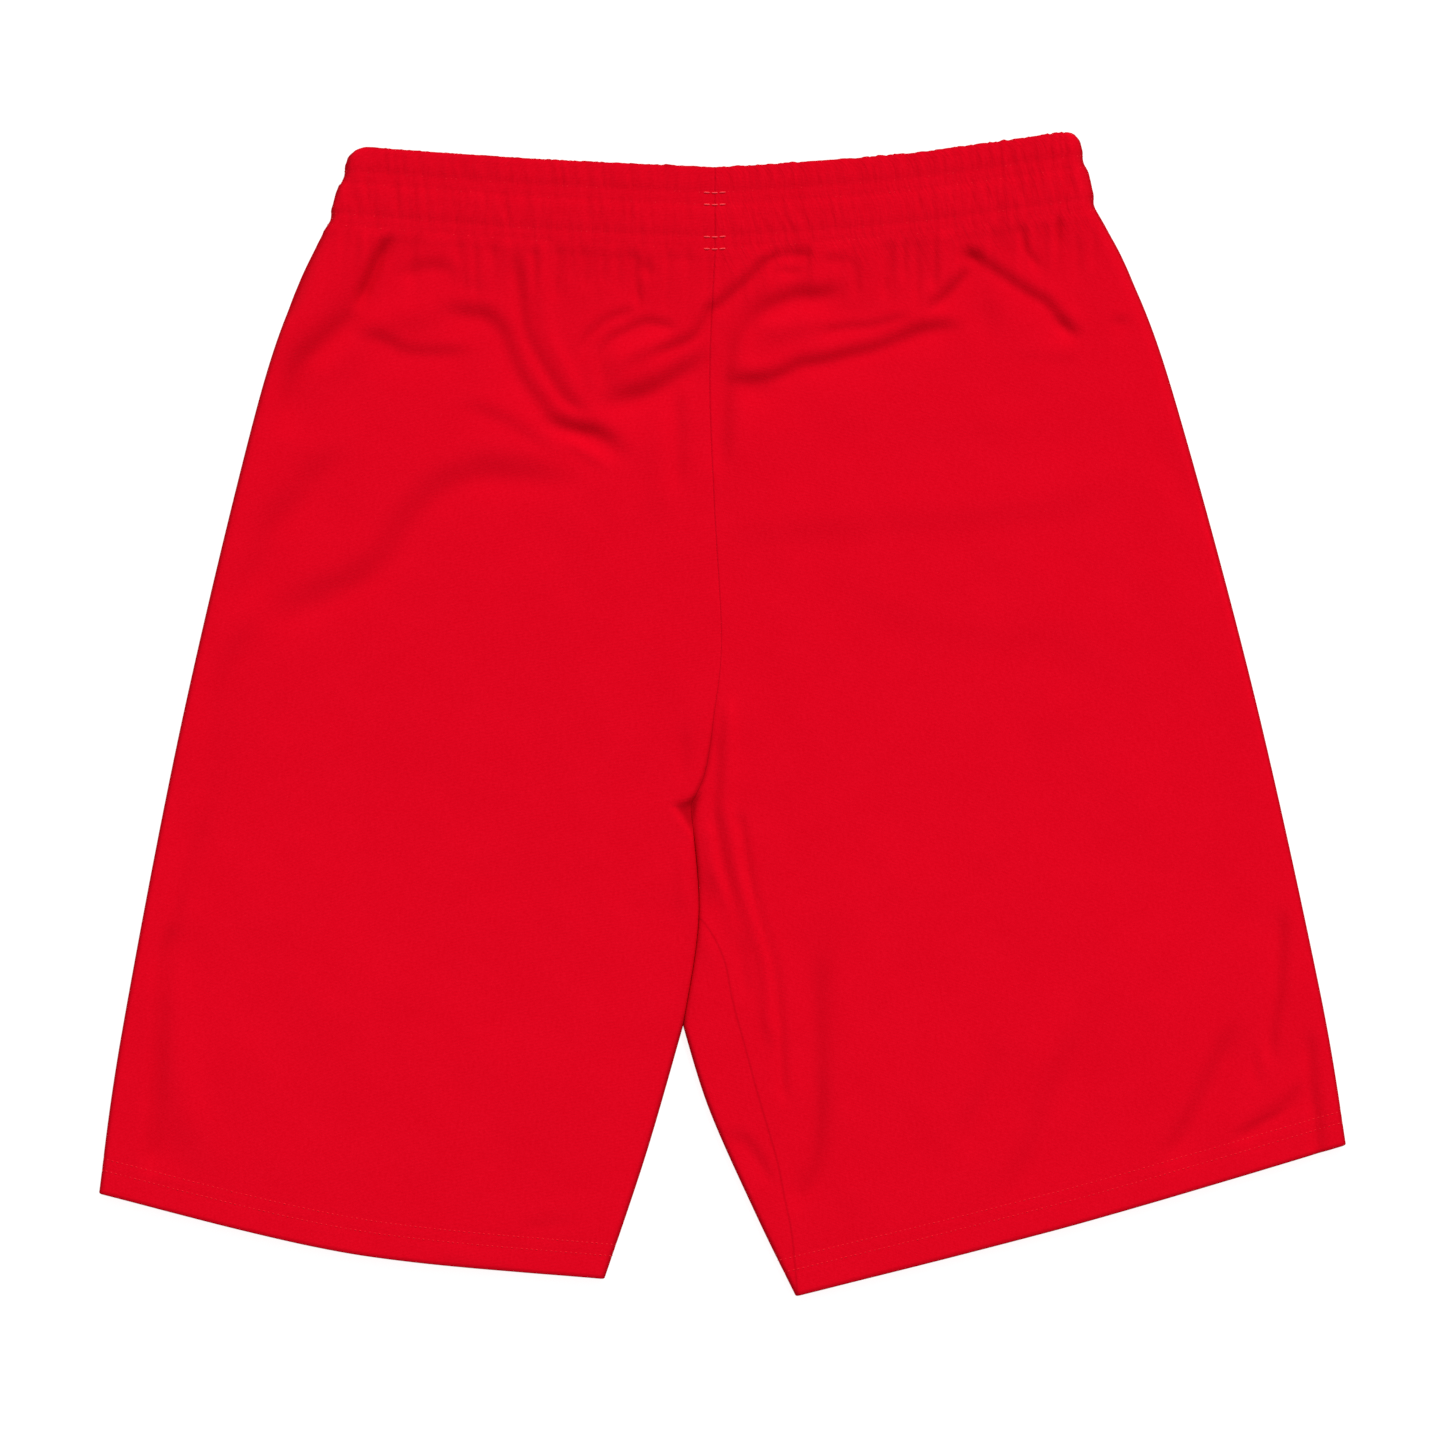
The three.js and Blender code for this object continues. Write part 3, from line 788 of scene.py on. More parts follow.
@dataclass
class Relief:
    """How far the cloth stands off its plain lie, in millimetres."""

    fine: float = 0.46
    coarse: float = 0.18
    below_near: float = 0.45
    below_far: float = 0.72
    stitched_calm: float = 0.35
    crotch_depth: float = 2.4
    wave_height: float = 0.35
    crumple_height: float = 0.16
    gather: Noise = field(default_factory=lambda: Noise(SEED))
    lean: Noise = field(default_factory=lambda: Noise(SEED + 1))
    wave: Noise = field(default_factory=lambda: Noise(SEED + 2))
    crumple: Noise = field(default_factory=lambda: Noise(SEED + 3))

    def gathers(self, s: np.ndarray, d: np.ndarray, seed: float) -> np.ndarray:
        """The shirring that the elastic pulls into the band and the cloth below it.

        Args:
            s: Distances round the waist from the centre.
            d: Distances from the hem.
            seed: Where in the noise to read.

        Returns:
            Heights.
        """
        below = np.clip(CUT.band - d, 0, None)
        lean = 2.0 * self.lean(s / 26 + seed, d / 15) + 0.10 * (d - CUT.band)
        fine = self.gather((s + lean) / 1.4 + seed, d / 15 + seed)
        coarse = self.gather((s + lean) / 2.9 + 40 + seed, d / 17)
        long = self.gather((s + 0.5 * lean) / 3.3 + 90 + seed, d / 42)
        in_band = smooth(d, CUT.band - 3, CUT.band + 3)
        patchy = 0.8 + 0.45 * self.lean(s / 29 + 7, d / 30)
        calm = 1 - self.stitched_calm * sum(bell(d - line, 3.4) for line in CUT.band_lines)
        band = in_band * calm * (self.fine * fine + self.coarse * coarse)
        near, far = self.below_near * np.exp(-below / 9), self.below_far * bell(below, 30)
        return patchy * (band + (1 - in_band) * (near * coarse + far * long))

    def back(self, x: np.ndarray, y: np.ndarray, d: np.ndarray) -> tuple[np.ndarray, np.ndarray]:
        """Heights of the folds in the back, and how deep in a hollow each point is, which sets painted
        shade.

        Args:
            x: Places across the plane.
            y: Places up the plane.
            d: Distances from the hem.

        Returns:
            The heights and the depths.
        """
        out, hollow = np.zeros_like(x), np.zeros_like(x)
        for fold in (*BACK_FOLDS, *(pleat(*sizes) for sizes in PLEATS)):
            height, depth = fold.relief(x, y)
            out += height
            hollow += depth
        out -= self.crotch_depth * smooth(within(x, y, CROTCH_HOLE), -2.5, 2.5)
        waves = self.wave_height * self.wave(x / 34, y / 46)
        out += waves + self.crumple_height * self.crumple(x / 13, y / 17)
        below = 1 - smooth(d, CUT.band - 5, CUT.band + 3)
        return out * below, hollow * below

    def front(self, x: np.ndarray, y: np.ndarray, d: np.ndarray) -> np.ndarray:
        """Heights of the waves in the front."""
        return (0.3 + 0.3 * self.wave(x / 40 + 90, y / 60)) * (1 - smooth(d, CUT.band - 6, CUT.band + 1))


RELIEF = Relief()


@dataclass(frozen=True)
class Shade:
    """Painted shade: how far the cloth's colour is darkened along its edges and in its hollows, from 0 to 1,
    and how far that reaches.
    """

    # Painted shade for each millimetre of fold hollow and of gather valley, and the width of the painted
    # shade along the edges.
    hollow: float = 0.095
    gather: float = 0.3
    rim_width: float = 1.3
    # Painted shade just inside the right hip's edge, which faces the key light.
    hip: float = 0.34
    hip_inset: float = 1.5
    hip_width: float = 2.4
    # Painted shade where the legs touch, at the pinch below the crotch, down the lower rise seam and in the
    # crotch hollow.
    contact: float = 0.12
    contact_width: float = 3.4
    pinch: float = 0.3
    pinch_y: float = -80
    pinch_length: float = 20
    pinch_width: float = 2.8
    rise: float = 0.62
    crotch: float = 0.8


SHADE = Shade()


# ---------------------------------------------------------------- Cloth


class Face(Enum):
    """Which side of the shorts a layer is on."""

    BACK = 1
    FRONT = -1


# The cloth's thickness, and the stretch below the crotch over which the seam becomes a fold.
CLOTH = 0.8
CROTCH_EASE = 20


@dataclass(frozen=True)
class Lie:
    """How high the layers lie at a distance from the hem."""

    shell_hem: float = 2.3
    shell_body: float = 2.5
    shell_band: float = 6.4
    puff: float = 0.38
    hem_dent: float = 0.10
    band_dent: float = 0.12
    corner: float = 7.0
    nips: tuple = (1.3, 1.1)
    least_turn: float = 2.4
    floor_gap: float = 0.1

    def shell(self, d: np.ndarray) -> np.ndarray:
        """Height of the outer layer's middle above the plane between the back and the front."""
        body = self.shell_hem + (self.shell_body - self.shell_hem) * smooth(d, 30, 110)
        return body + (self.shell_band - self.shell_body) * smooth(d, 150, CUT.band + 6)

    def stack(self, d: np.ndarray) -> np.ndarray:
        """Height of the outer layer's middle above the innermost face, without its stitched rows."""
        hem = 1.35 - 0.95 * smooth(d, CUT.hem_allowance - 1.5, CUT.hem_allowance + 5)
        return hem + 3.0 * smooth(d, CUT.band - 22, CUT.band + 1)

    def outer(self, d: np.ndarray) -> np.ndarray:
        """Height of the outer layer's middle above the innermost face."""
        half = CUT.gauge / 2
        height = self.stack(d) + self.puff * smooth(d, CUT.band - 4, CUT.band)
        for row in (CUT.hem_row, CUT.hem_row + CUT.gauge):
            height = height - self.hem_dent * bell(d - row, 1.0)
        for line in CUT.band_lines:
            height = height - self.puff * (1 - smooth(np.abs(d - line), half - 1, half + 5.5))
            for row in (line - half, line + half):
                height = height - self.band_dent * bell(d - row, 0.9)
        return height

    def hollow(self, d: np.ndarray) -> np.ndarray:
        """Half of the gap between the innermost layers."""
        return self.shell(d) - self.stack(d)

    def middle(self, d: np.ndarray) -> np.ndarray:
        """Height of the plane between the back and the front."""
        return self.shell(d) + CLOTH / 2 + self.floor_gap

    def tuck(self, d: np.ndarray) -> np.ndarray:
        """How far the side edge stands in: rounded at the top corner, nipped at the stitch lines."""
        up = np.clip((d - CUT.top + self.corner) / self.corner, 0, 1)
        inset = self.corner * (1 - np.sqrt(np.clip(1 - up**2, 0, 1)))
        for line, nip in zip(CUT.band_lines, self.nips):
            inset = inset + nip * (bell(d - line, 3.6) - 0.35 * bell(d - line, 13))
        return inset


LIE = Lie()


def wrap(leg: Leg, face: Face, zone: np.ndarray, t: np.ndarray, d: np.ndarray, h: np.ndarray) -> tuple:
    """Points of a layer that is wrapped round the hollow of a leg.

    Args:
        leg: The leg.
        face: The side of the shorts.
        zone: 0 in the fold at the side seam, 1 in the flat, 2 in the fold or seam at the middle.
        t: How far through the zone, from the side seam towards the middle. In a side fold it falls from 1.
        d: Distances from the hem.
        h: Heights above the innermost face.

    Returns:
        The points, and how much each faces up or down.
    """
    width = leg.width(d)
    hollow = LIE.hollow(d)
    edge = np.maximum(LIE.shell(d), LIE.least_turn) + CLOTH / 2
    radius = hollow + h
    swing = t * math.pi / 2
    reach = np.sin(swing) * (radius + edge - LIE.shell(d) - CLOTH / 2)
    lift = np.cos(swing) * radius
    parted = 1 - smooth(d, CUT.crotch - CROTCH_EASE, CUT.crotch)
    at_side, at_middle = zone == 0, zone == 2
    inset = np.where(at_side, edge - reach, edge + (width - 2 * edge) * t)
    inset = np.where(at_middle, width - edge + edge * t * (1 - parted) + reach * parted, inset)
    inset = inset + LIE.tuck(d) * np.exp(-np.clip(inset, 0, None) / 9)
    rise = np.where(at_side, lift, radius)
    rise = np.where(at_middle, radius + (lift - radius) * parted, rise)
    facing = np.where(at_side, np.cos(swing), 1.0)
    facing = np.where(at_middle, 1 + (np.cos(swing) - 1) * parted, facing)
    flat = leg.point(inset, d)
    height = LIE.middle(d) + face.value * rise
    return np.concatenate([flat, height[..., None]], axis=-1), facing


@dataclass
class Columns:
    """The columns of a panel's grid, from the side seam to the middle."""

    round_steps: int
    flat_steps: int

    def __post_init__(self) -> None:
        """Lists each column's zone and place in it."""
        rounds, flats = self.round_steps, self.flat_steps
        self.zone = np.r_[np.zeros(rounds), np.ones(flats), np.full(rounds + 1, 2)]
        self.t = np.r_[
            1 - np.arange(rounds) / rounds, np.arange(flats) / flats, np.arange(rounds + 1) / rounds
        ]


def grid_faces(rows: int, columns: int) -> np.ndarray:
    """Quads of a grid of points."""
    index = np.arange(rows * columns).reshape(rows, columns)
    quads = [index[:-1, :-1], index[:-1, 1:], index[1:, 1:], index[1:, :-1]]
    return np.stack(quads, axis=-1).reshape(-1, 4)


def ring_faces(rings: int, sides: int) -> np.ndarray:
    """Quads round a run of rings of an even number of points, closed at both ends."""
    index = np.arange(rings * sides).reshape(rings, sides)
    after = np.roll(index, -1, axis=1)
    quads = np.stack([index[:-1], after[:-1], after[1:], index[1:]], axis=-1).reshape(-1, 4)
    rims = (index[0][::-1], index[-1])
    ends = [[ring[0], *ring[k : k + 3]] for ring in rims for k in range(1, sides - 2, 2)]
    return np.concatenate([quads, ends])


def outwards(points: np.ndarray, faces: np.ndarray) -> np.ndarray:
    """Quads of a closed mesh, all turned to face out of it."""
    a, b, c, d = (points[faces[:, k]] - points.mean(0) for k in range(4))
    volume = (np.cross(a, b) * c + np.cross(a, c) * d).sum()
    return faces[:, ::-1] if volume < 0 else faces


def make_mesh(name: str, points: np.ndarray, faces: np.ndarray) -> bpy.types.Object:
    """A smooth object at the origin from points in millimetres and quads."""
    mesh = bpy.data.meshes.new(name)
    mesh.vertices.add(len(points))
    mesh.vertices.foreach_set("co", (points * MM).astype(np.float32).ravel())
    mesh.loops.add(faces.size)
    mesh.loops.foreach_set("vertex_index", outwards(points, faces).astype(np.int32).ravel())
    mesh.polygons.add(len(faces))
    mesh.polygons.foreach_set("loop_start", np.arange(0, faces.size, 4, dtype=np.int32))
    mesh.update(calc_edges=True)
    mesh.polygons.foreach_set("use_smooth", np.ones(len(faces), dtype=bool))
    mesh.validate()
    thing = bpy.data.objects.new(name, mesh)
    bpy.context.scene.collection.objects.link(thing)
    return thing


def grid_normals(points: np.ndarray) -> np.ndarray:
    """Unit normals of a grid of points."""
    rows = np.gradient(points, axis=0)
    columns = np.gradient(points, axis=1)
    normal = np.cross(columns, rows)
    length = np.linalg.norm(normal, axis=-1, keepdims=True)
    return normal / np.maximum(length, 1e-9)


# Points across each turned edge, and where in the noise the front's gathers start.
TURN_STEPS = 7
FRONT_SEED = 31.0
# Between these distances below the origin the rise seam sinks into a groove.
LOW_RISE = (-24, 45)
# The share of the relief that the turned-in layer takes, and the lowest that a hollow may press the cloth.
INNER_CALM = 0.12
LEAST_HEIGHT = 3.2
# Further than this from a seam, the distance no longer matters.
FAR = 20.0


@dataclass
class Panel:
    """One cloth panel: turned up at its hem and over the elastic at its waist."""

    leg: Leg
    face: Face
    columns: Columns
    body_pitch: float
    seat_pitch: float
    band_pitch: float

    @property
    def name(self) -> str:
        """Which panel this is."""
        return f"{self.face.name.lower()}_{self.leg.name}"

    def rows(self) -> tuple[np.ndarray, np.ndarray, np.ndarray]:
        """The distances and heights of the grid's rows, and how far each lies on the outside, 0 to 1."""
        inner = CLOTH / 2
        swing = np.linspace(-math.pi / 2, math.pi / 2, TURN_STEPS)
        hem_radius, top_radius = (float(LIE.outer(np.array(d)) - inner) / 2 for d in (3.0, CUT.top - 2.0))
        hem = inner + hem_radius * (1 - np.cos(swing))
        top = CUT.top - inner - top_radius * (1 - np.cos(swing))
        turn_up = np.linspace(CUT.hem_allowance, hem[0], 8)[:-1]
        casing = np.linspace(top[-1], CUT.top - CUT.casing_allowance, 10)[1:]
        zones = (
            (hem[-1], 30, 1.6),
            (30, 190, self.body_pitch),
            (190, 262, 0.5 * self.body_pitch),
            (262, 330, self.body_pitch),
            (330, CUT.band, self.seat_pitch),
            (CUT.band, top[0], self.band_pitch),
        )
        outside = np.concatenate(
            [np.linspace(a, b, max(2, round((b - a) / pitch)), endpoint=False)[1:] for a, b, pitch in zones]
        )
        shown = np.linspace(0, 1, TURN_STEPS)
        runs = (
            (turn_up, inner, 0),
            (hem, inner + hem_radius * (1 + np.sin(swing)), shown),
            (outside, LIE.outer(outside), 1),
            (top, inner + top_radius * (1 - np.sin(swing)), shown[::-1]),
            (casing, inner, 0),
        )

        def joined(k: int) -> np.ndarray:
            """One value of every run, end to end."""
            return np.concatenate([np.broadcast_to(np.float64(run[k]), run[0].shape) for run in runs])

        return joined(0), joined(1), joined(2)

    def lay(self) -> None:
        """Works out the middle surface of the cloth."""
        d, h, self.shown = self.rows()
        shape = (len(d), len(self.columns.t))
        self.d, height = (np.broadcast_to(values[:, None], shape) for values in (d, h))
        zone, t = (np.broadcast_to(values, shape) for values in (self.columns.zone, self.columns.t))
        points, facing = wrap(self.leg, self.face, zone, t, self.d, height)
        steps = np.linalg.norm(np.diff(points, axis=1), axis=2)
        self.across = np.concatenate([np.zeros((len(d), 1)), np.cumsum(steps, axis=1)], axis=1)
        x, y = points[..., 0], points[..., 1]
        inward = self.across[:, -1:] - self.across
        back = self.face is Face.BACK
        gather = RELIEF.gathers(inward * self.leg.side, self.d, 0.0 if back else FRONT_SEED)
        folds, hollow = RELIEF.back(x, y, self.d) if back else (np.abs(RELIEF.front(x, y, self.d)), 0.0)
        normal = grid_normals(points)
        normal *= np.sign((normal[..., 2:3] * self.face.value).sum(axis=1, keepdims=True))
        # Painted shade in the folds' hollows and the gathers' valleys, added to the painted shade along
        # edges.
        dark = SHADE.hollow * hollow + SHADE.gather * np.maximum(-gather, 0)
        self.shade = np.clip(self.rim(x, y, inward) + dark, 0, 1)
        self.seam = self.seam_distance(x, y, inward)
        low = smooth(-y, *LOW_RISE)
        groove = 1.3 * low * bell(inward, 0.8 + 0.9 * low) * smooth(self.d, CUT.crotch - 12, CUT.crotch)
        outer = self.shown[:, None] >= 0.5
        calm = np.where(outer | (self.d <= CUT.crotch), 1.0, INNER_CALM)
        lift = np.zeros_like(points)
        lift[..., 2] = self.face.value * facing * (folds * calm - np.where(outer, groove, 0.0))
        if self.face is Face.FRONT:
            lift[..., 2] = np.where(outer, np.abs(lift[..., 2]), lift[..., 2])
        limit = LEAST_HEIGHT - LIE.shell(self.d) - LIE.middle(self.d)
        self.points = points + np.maximum(lift, limit[..., None]) + (gather * calm)[..., None] * normal
        self.points[..., 2] = np.maximum(self.points[..., 2], CLOTH / 2)
        self.normal = grid_normals(self.points)
        edge = self.normal[:, -1]
        edge[:, 0] *= 1 - smooth(self.d[:, -1], CUT.crotch - 4, CUT.crotch + 4)
        edge /= np.linalg.norm(edge, axis=1, keepdims=True)

    def rim(self, x: np.ndarray, y: np.ndarray, inward: np.ndarray) -> np.ndarray:
        """Painted shade along the cloth's folded edges, inside the right hip's edge, where the legs touch,
        down the lower rise seam and in the crotch.
        """
        parted = 30 * smooth(self.d, CUT.crotch - 6, CUT.crotch + 6)
        turn = LIE.shell(self.d) * 0.57
        side = np.maximum(self.across - turn, 0)
        middle = np.maximum(inward - turn * (parted < 1), 0) + parted
        nearest = np.minimum(np.minimum(side, middle), np.minimum(self.d, CUT.top - self.d))
        # Painted shade along the cloth's folded edges.
        shade = bell(nearest, SHADE.rim_width)
        # Painted shade inside the right hip's edge, which faces the key light.
        hip = SHADE.hip * (self.leg.side > 0) * smooth(self.d, 300, 440)
        shade = np.maximum(shade, hip * bell(side - SHADE.hip_inset, SHADE.hip_width))
        # Where the legs touch, the edges' painted shade gives way to a fainter painted shade along the join.
        touching = smooth(self.d, CUT.inseam_apart - 4, CUT.inseam_apart + 10) * (middle < 20)
        shade = shade * (1 - touching) + SHADE.contact * touching * bell(middle, SHADE.contact_width)
        # Painted shade at the pinch below the crotch, down the lower rise seam and in the crotch hollow.
        pinch = bell(y - SHADE.pinch_y, SHADE.pinch_length) * bell(middle, SHADE.pinch_width)
        rise = bell(inward, 0.6 + 0.9 * smooth(-y, *LOW_RISE)) * smooth(-y, -24, 40)
        rise = rise * smooth(self.d, CUT.crotch - 20, CUT.crotch)
        crotch = smooth(within(x, y, CROTCH_HOLE), -1.6, 1.6)
        for depth in (SHADE.pinch * touching * pinch, SHADE.rise * rise, SHADE.crotch * crotch):
            shade = np.maximum(shade, depth)
        return np.clip(shade, 0, 1)

    def seam_distance(self, x: np.ndarray, y: np.ndarray, inward: np.ndarray) -> np.ndarray:
        """Distances from the nearest seam that shows on this panel, negative on one side of the inseam."""
        distance = np.where(self.d > CUT.crotch - 8, inward + 0.9 + 2 * smooth(y, -10, 40), FAR)
        if self.face is Face.BACK and self.leg is RIGHT:
            path = spline(list(INSEAM_LINE), 160)
            near = close_to(path, x, y, 6.0)
            aside, ahead, _ = beside(path, x[near], y[near])
            inseam = np.copysign(np.hypot(aside, np.maximum(np.abs(ahead) - 1, 0)), aside)
            distance[near] = np.where(np.abs(inseam) < distance[near], inseam, distance[near])
        return np.clip(distance, -FAR, FAR)

    def build(self) -> bpy.types.Object:
        """Makes the panel's closed mesh. Its walls come first and are flat, so that its rim shades true."""
        self.lay()
        rows, columns = self.points.shape[:2]
        above = self.points + self.normal * CLOTH / 2
        below = self.points - self.normal * CLOTH / 2
        points = np.concatenate([above.reshape(-1, 3), below.reshape(-1, 3)])
        count = rows * columns
        index = np.arange(count).reshape(rows, columns)
        rim = np.concatenate([index[0, :], index[1:, -1], index[-1, -2::-1], index[-2:0:-1, 0]])
        after = np.roll(rim, -1)
        edges = np.stack([rim, rim + count, after + count, after], axis=-1)
        sides = grid_faces(rows, columns), grid_faces(rows, columns)[:, ::-1] + count
        faces = np.concatenate([edges, *sides])
        thing = make_mesh(f"{self.name}_cloth", points, faces)
        rounded = np.arange(len(faces)) >= len(edges)
        thing.data.polygons.foreach_set("use_smooth", rounded)
        # The cloth attribute carries the places across and along, then the painted shade that the knit mixes
        # into its colour.
        cloth = np.stack([self.across, self.d, self.shade], axis=-1).reshape(-1, 3)
        layer = thing.data.attributes.new("cloth", "FLOAT_VECTOR", "POINT")
        layer.data.foreach_set("vector", np.tile(cloth, (2, 1)).astype(np.float32).ravel())
        gathered = smooth(self.d, CUT.band - 22, CUT.band)
        for title, values in (("seam", self.seam), ("gathered", gathered)):
            layer = thing.data.attributes.new(title, "FLOAT", "POINT")
            layer.data.foreach_set("value", np.tile(values.ravel(), 2).astype(np.float32))
        return thing

    def outside(self, d: float, lift: float) -> np.ndarray:
        """Points along the panel's outer face at a distance from the hem, lifted off it."""
        return self._row(np.flatnonzero(self.shown >= 0.99), d, CLOTH / 2 + lift)

    def inside(self, d: float, lift: float) -> np.ndarray:
        """Points along the panel's turned-in layer at a distance from the hem, lifted off its inner face."""
        half = CUT.top / 2
        rows = np.flatnonzero((self.shown <= 0.01) & ((self.d[:, 0] < half) == (d < half)))
        return self._row(rows[np.argsort(self.d[rows, 0])], d, CLOTH / 2 + lift)

    def _row(self, rows: np.ndarray, d: float, lift: float) -> np.ndarray:
        """Points between two rows of the grid, lifted away from the cloth's middle."""
        where = self.d[rows, 0]
        high = int(np.clip(np.searchsorted(where, d), 1, len(where) - 1))
        share = (d - where[high - 1]) / (where[high] - where[high - 1])
        low_row, high_row = rows[high - 1], rows[high]
        points = self.points[low_row] * (1 - share) + self.points[high_row] * share
        normal = self.normal[low_row] * (1 - share) + self.normal[high_row] * share
        return points + self.sign(low_row) * lift * normal

    def sign(self, row: int) -> float:
        """1 where the grid's normals point outwards at the panel's middle columns, or -1."""
        mid = self.points.shape[1] // 2
        outer = self.shown[row] >= 0.5
        up = self.normal[row, mid, 2] * self.face.value > 0
        return 1.0 if up == outer else -1.0


# ---------------------------------------------------------------- Threads


def square_to(path: np.ndarray) -> tuple[np.ndarray, np.ndarray]:
    """Two directions square to a path and to each other."""
    along = np.gradient(path, axis=0)
    along /= np.maximum(np.linalg.norm(along, axis=1, keepdims=True), 1e-9)
    up = np.tile([0.0, 0.0, 1.0], (len(path), 1))
    flat = np.abs(along[:, 2]) > 0.9
    up[flat] = [0.0, 1.0, 0.0]
    side = np.cross(along, up)
    side /= np.linalg.norm(side, axis=1, keepdims=True)
    return side, np.cross(side, along)


def tube(path: np.ndarray, radius: np.ndarray, sides: int) -> tuple[np.ndarray, np.ndarray]:
    """Points and faces of a tube with closed ends that tapers with its radius."""
    side, up = square_to(path)
    angle = np.arange(sides) * 2 * math.pi / sides
    ring = side[:, None] * np.cos(angle)[None, :, None] + up[:, None] * np.sin(angle)[None, :, None]
    points = (path[:, None] + ring * radius[:, None, None]).reshape(-1, 3)
    return points, ring_faces(len(path), sides)


def round_about(panels: list, pick: Callable[[Panel], np.ndarray]) -> list[np.ndarray]:
    """One line from each panel, each turned so that they follow one another round the leg or the waist."""
    lines = ((pick(panel), inwards) for panel, inwards in panels)
    return [line if inwards else line[::-1] for line, inwards in lines]


@dataclass
class NeedleRow:
    """One row of separate stitches round a leg or the waist."""

    name: str
    panels: list
    d: float
    sink: float = 0.0
    barred: bool = False
    pitch: float = 2.45
    length: float = 1.4
    radius: float = 0.25
    bar_length: float = 3.1
    bar_pitch: float = 3.9
    bar_sink: float = -0.25
    bar_radius: float = 0.3
    arch: float = 0.28
    root: float = 0.22

    def loop(self) -> tuple[np.ndarray, np.ndarray]:
        """The closed line on the cloth that the row follows, and the point of it at the centre back."""
        lines = round_about(self.panels, lambda panel: panel.outside(self.d, 0.05))
        return np.concatenate([*lines, lines[0][:1]]), lines[0][-1]

    def stitches(self, total: float, centre: float) -> list:
        """Where each stitch starts, its length, how deep it sinks and its radius."""
        rng = np.random.default_rng(SEED + int(self.d * 10))
        count = int(total / self.pitch)
        rows = []
        for start in (np.arange(count) + 0.3) * total / count:
            if self.barred and abs(start + self.length / 2 - centre) < 1.6 * self.bar_pitch:
                continue
            length = self.length * rng.uniform(0.75, 1.1)
            sink = self.sink + rng.uniform(0, 0.22)
            rows.append((start, length, sink, self.radius))
        if self.barred:
            for step in (-1, 0, 1):
                start = centre + step * self.bar_pitch - self.bar_length / 2
                rows.append((start, self.bar_length, self.bar_sink, self.bar_radius))
        return rows

    def build(self) -> bpy.types.Object:
        """Makes every stitch as a small rounded bar that dips into the cloth at both ends."""
        loop, centre = self.loop()
        lengths = lengths_along(loop)
        middle = lengths[np.linalg.norm(loop - centre, axis=1).argmin()]
        share = np.array([0, 0.12, 0.35, 0.65, 0.88, 1.0])
        taper = np.array([0.35, 0.85, 1, 1, 0.85, 0.35])
        all_points, all_faces, total = [], [], 0
        for start, length, sink, radius in self.stitches(lengths[-1], middle):
            path = points_at(loop, (start + share * length) % lengths[-1], lengths)
            above = path[:, 2].mean() > LIE.middle(np.array(self.d))
            out = np.array([0, 0, 1.0 if above else -1.0])
            path = path + out * (self.arch * np.sin(share * math.pi) - self.root - sink)[:, None]
            points, faces = tube(path, radius * taper, 6)
            all_points.append(points)
            all_faces.append(faces + total)
            total += len(points)
        thing = make_mesh(self.name, np.concatenate(all_points), np.concatenate(all_faces))
        if self.barred:
            slots = np.zeros(len(thing.data.polygons), dtype=np.int32)
            slots[-3 * len(all_faces[-1]) :] = 1
            thing.data.polygons.foreach_set("material_index", slots)
        return thing


@dataclass
class LooperRow:
    """The looper thread inside: a zigzag between the two needle rows."""

    name: str
    panels: list
    d: float
    pitch: float = 3.1
    radius: float = 0.22

    def line(self, d: float) -> np.ndarray:
        """Points round the inside at a distance from the hem."""
        return np.concatenate(round_about(self.panels, lambda panel: panel.inside(d, 0.15)))

    def build(self) -> bpy.types.Object:
        """Makes the zigzag as one run of thread."""
        low, high = self.line(self.d), self.line(self.d + CUT.gauge)
        lengths = lengths_along(low)
        count = int(lengths[-1] / self.pitch) * 2
        where = np.linspace(0, lengths[-1], count, endpoint=False)
        path = points_at(low, where, lengths)
        path[1::2] = points_at(high, where[1::2], lengths)
        return make_mesh(self.name, *tube(path, np.full(count, self.radius), 6))


@dataclass
class Overlock:
    """An overlocked seam inside: two cloth edges with thread wrapped over them."""

    name: str
    leg: Leg
    kind: str
    face: Face = Face.BACK
    width: float = 6.0
    pitch: float = 1.1
    half_height: float = 0.8

    def line(self, d: np.ndarray, across: float) -> np.ndarray:
        """Points along the seam, some way across its width from 0 to 1."""
        if self.kind == "rise":
            middle = self.leg.point(self.leg.width(d), d)
            flat = middle + np.array([(across - 0.5) * self.width, 0])
            x, y = flat.T
            relief = RELIEF.back(x, y, d)[0] if self.face is Face.BACK else 0.0
            level = LIE.shell(d) - CLOTH / 2 - 1.0 - 1.7 * smooth(-y, *LOW_RISE)
            return np.column_stack([flat, LIE.middle(d) + self.face.value * (level + relief)])
        inset = 1.6 + across * self.width
        share = inset if self.kind == "side" else self.leg.width(d) - inset
        return np.column_stack([self.leg.point(share * np.ones_like(d), d), LIE.middle(d)])

    def build(self, start: float, end: float) -> bpy.types.Object:
        """Makes the seam from one distance to another as a ribbed strip."""
        d = np.linspace(start, end, int((end - start) / self.pitch))
        ribs = 0.62 + 0.13 * (np.arange(len(d)) % 2)
        upper = ((0.0, 0.55), (0.25, 0.95), (0.75, 1.0), (1.0, 0.6))
        section = (*upper, *((across, -up) for across, up in reversed(upper)))
        ring = []
        for across, up in section:
            points = self.line(d, across)
            points[:, 2] += up * ribs * self.half_height
            ring.append(points)
        points = np.stack(ring, axis=1).reshape(-1, 3)
        return make_mesh(self.name, points, ring_faces(len(d), len(section)))


# ---------------------------------------------------------------- Assembly


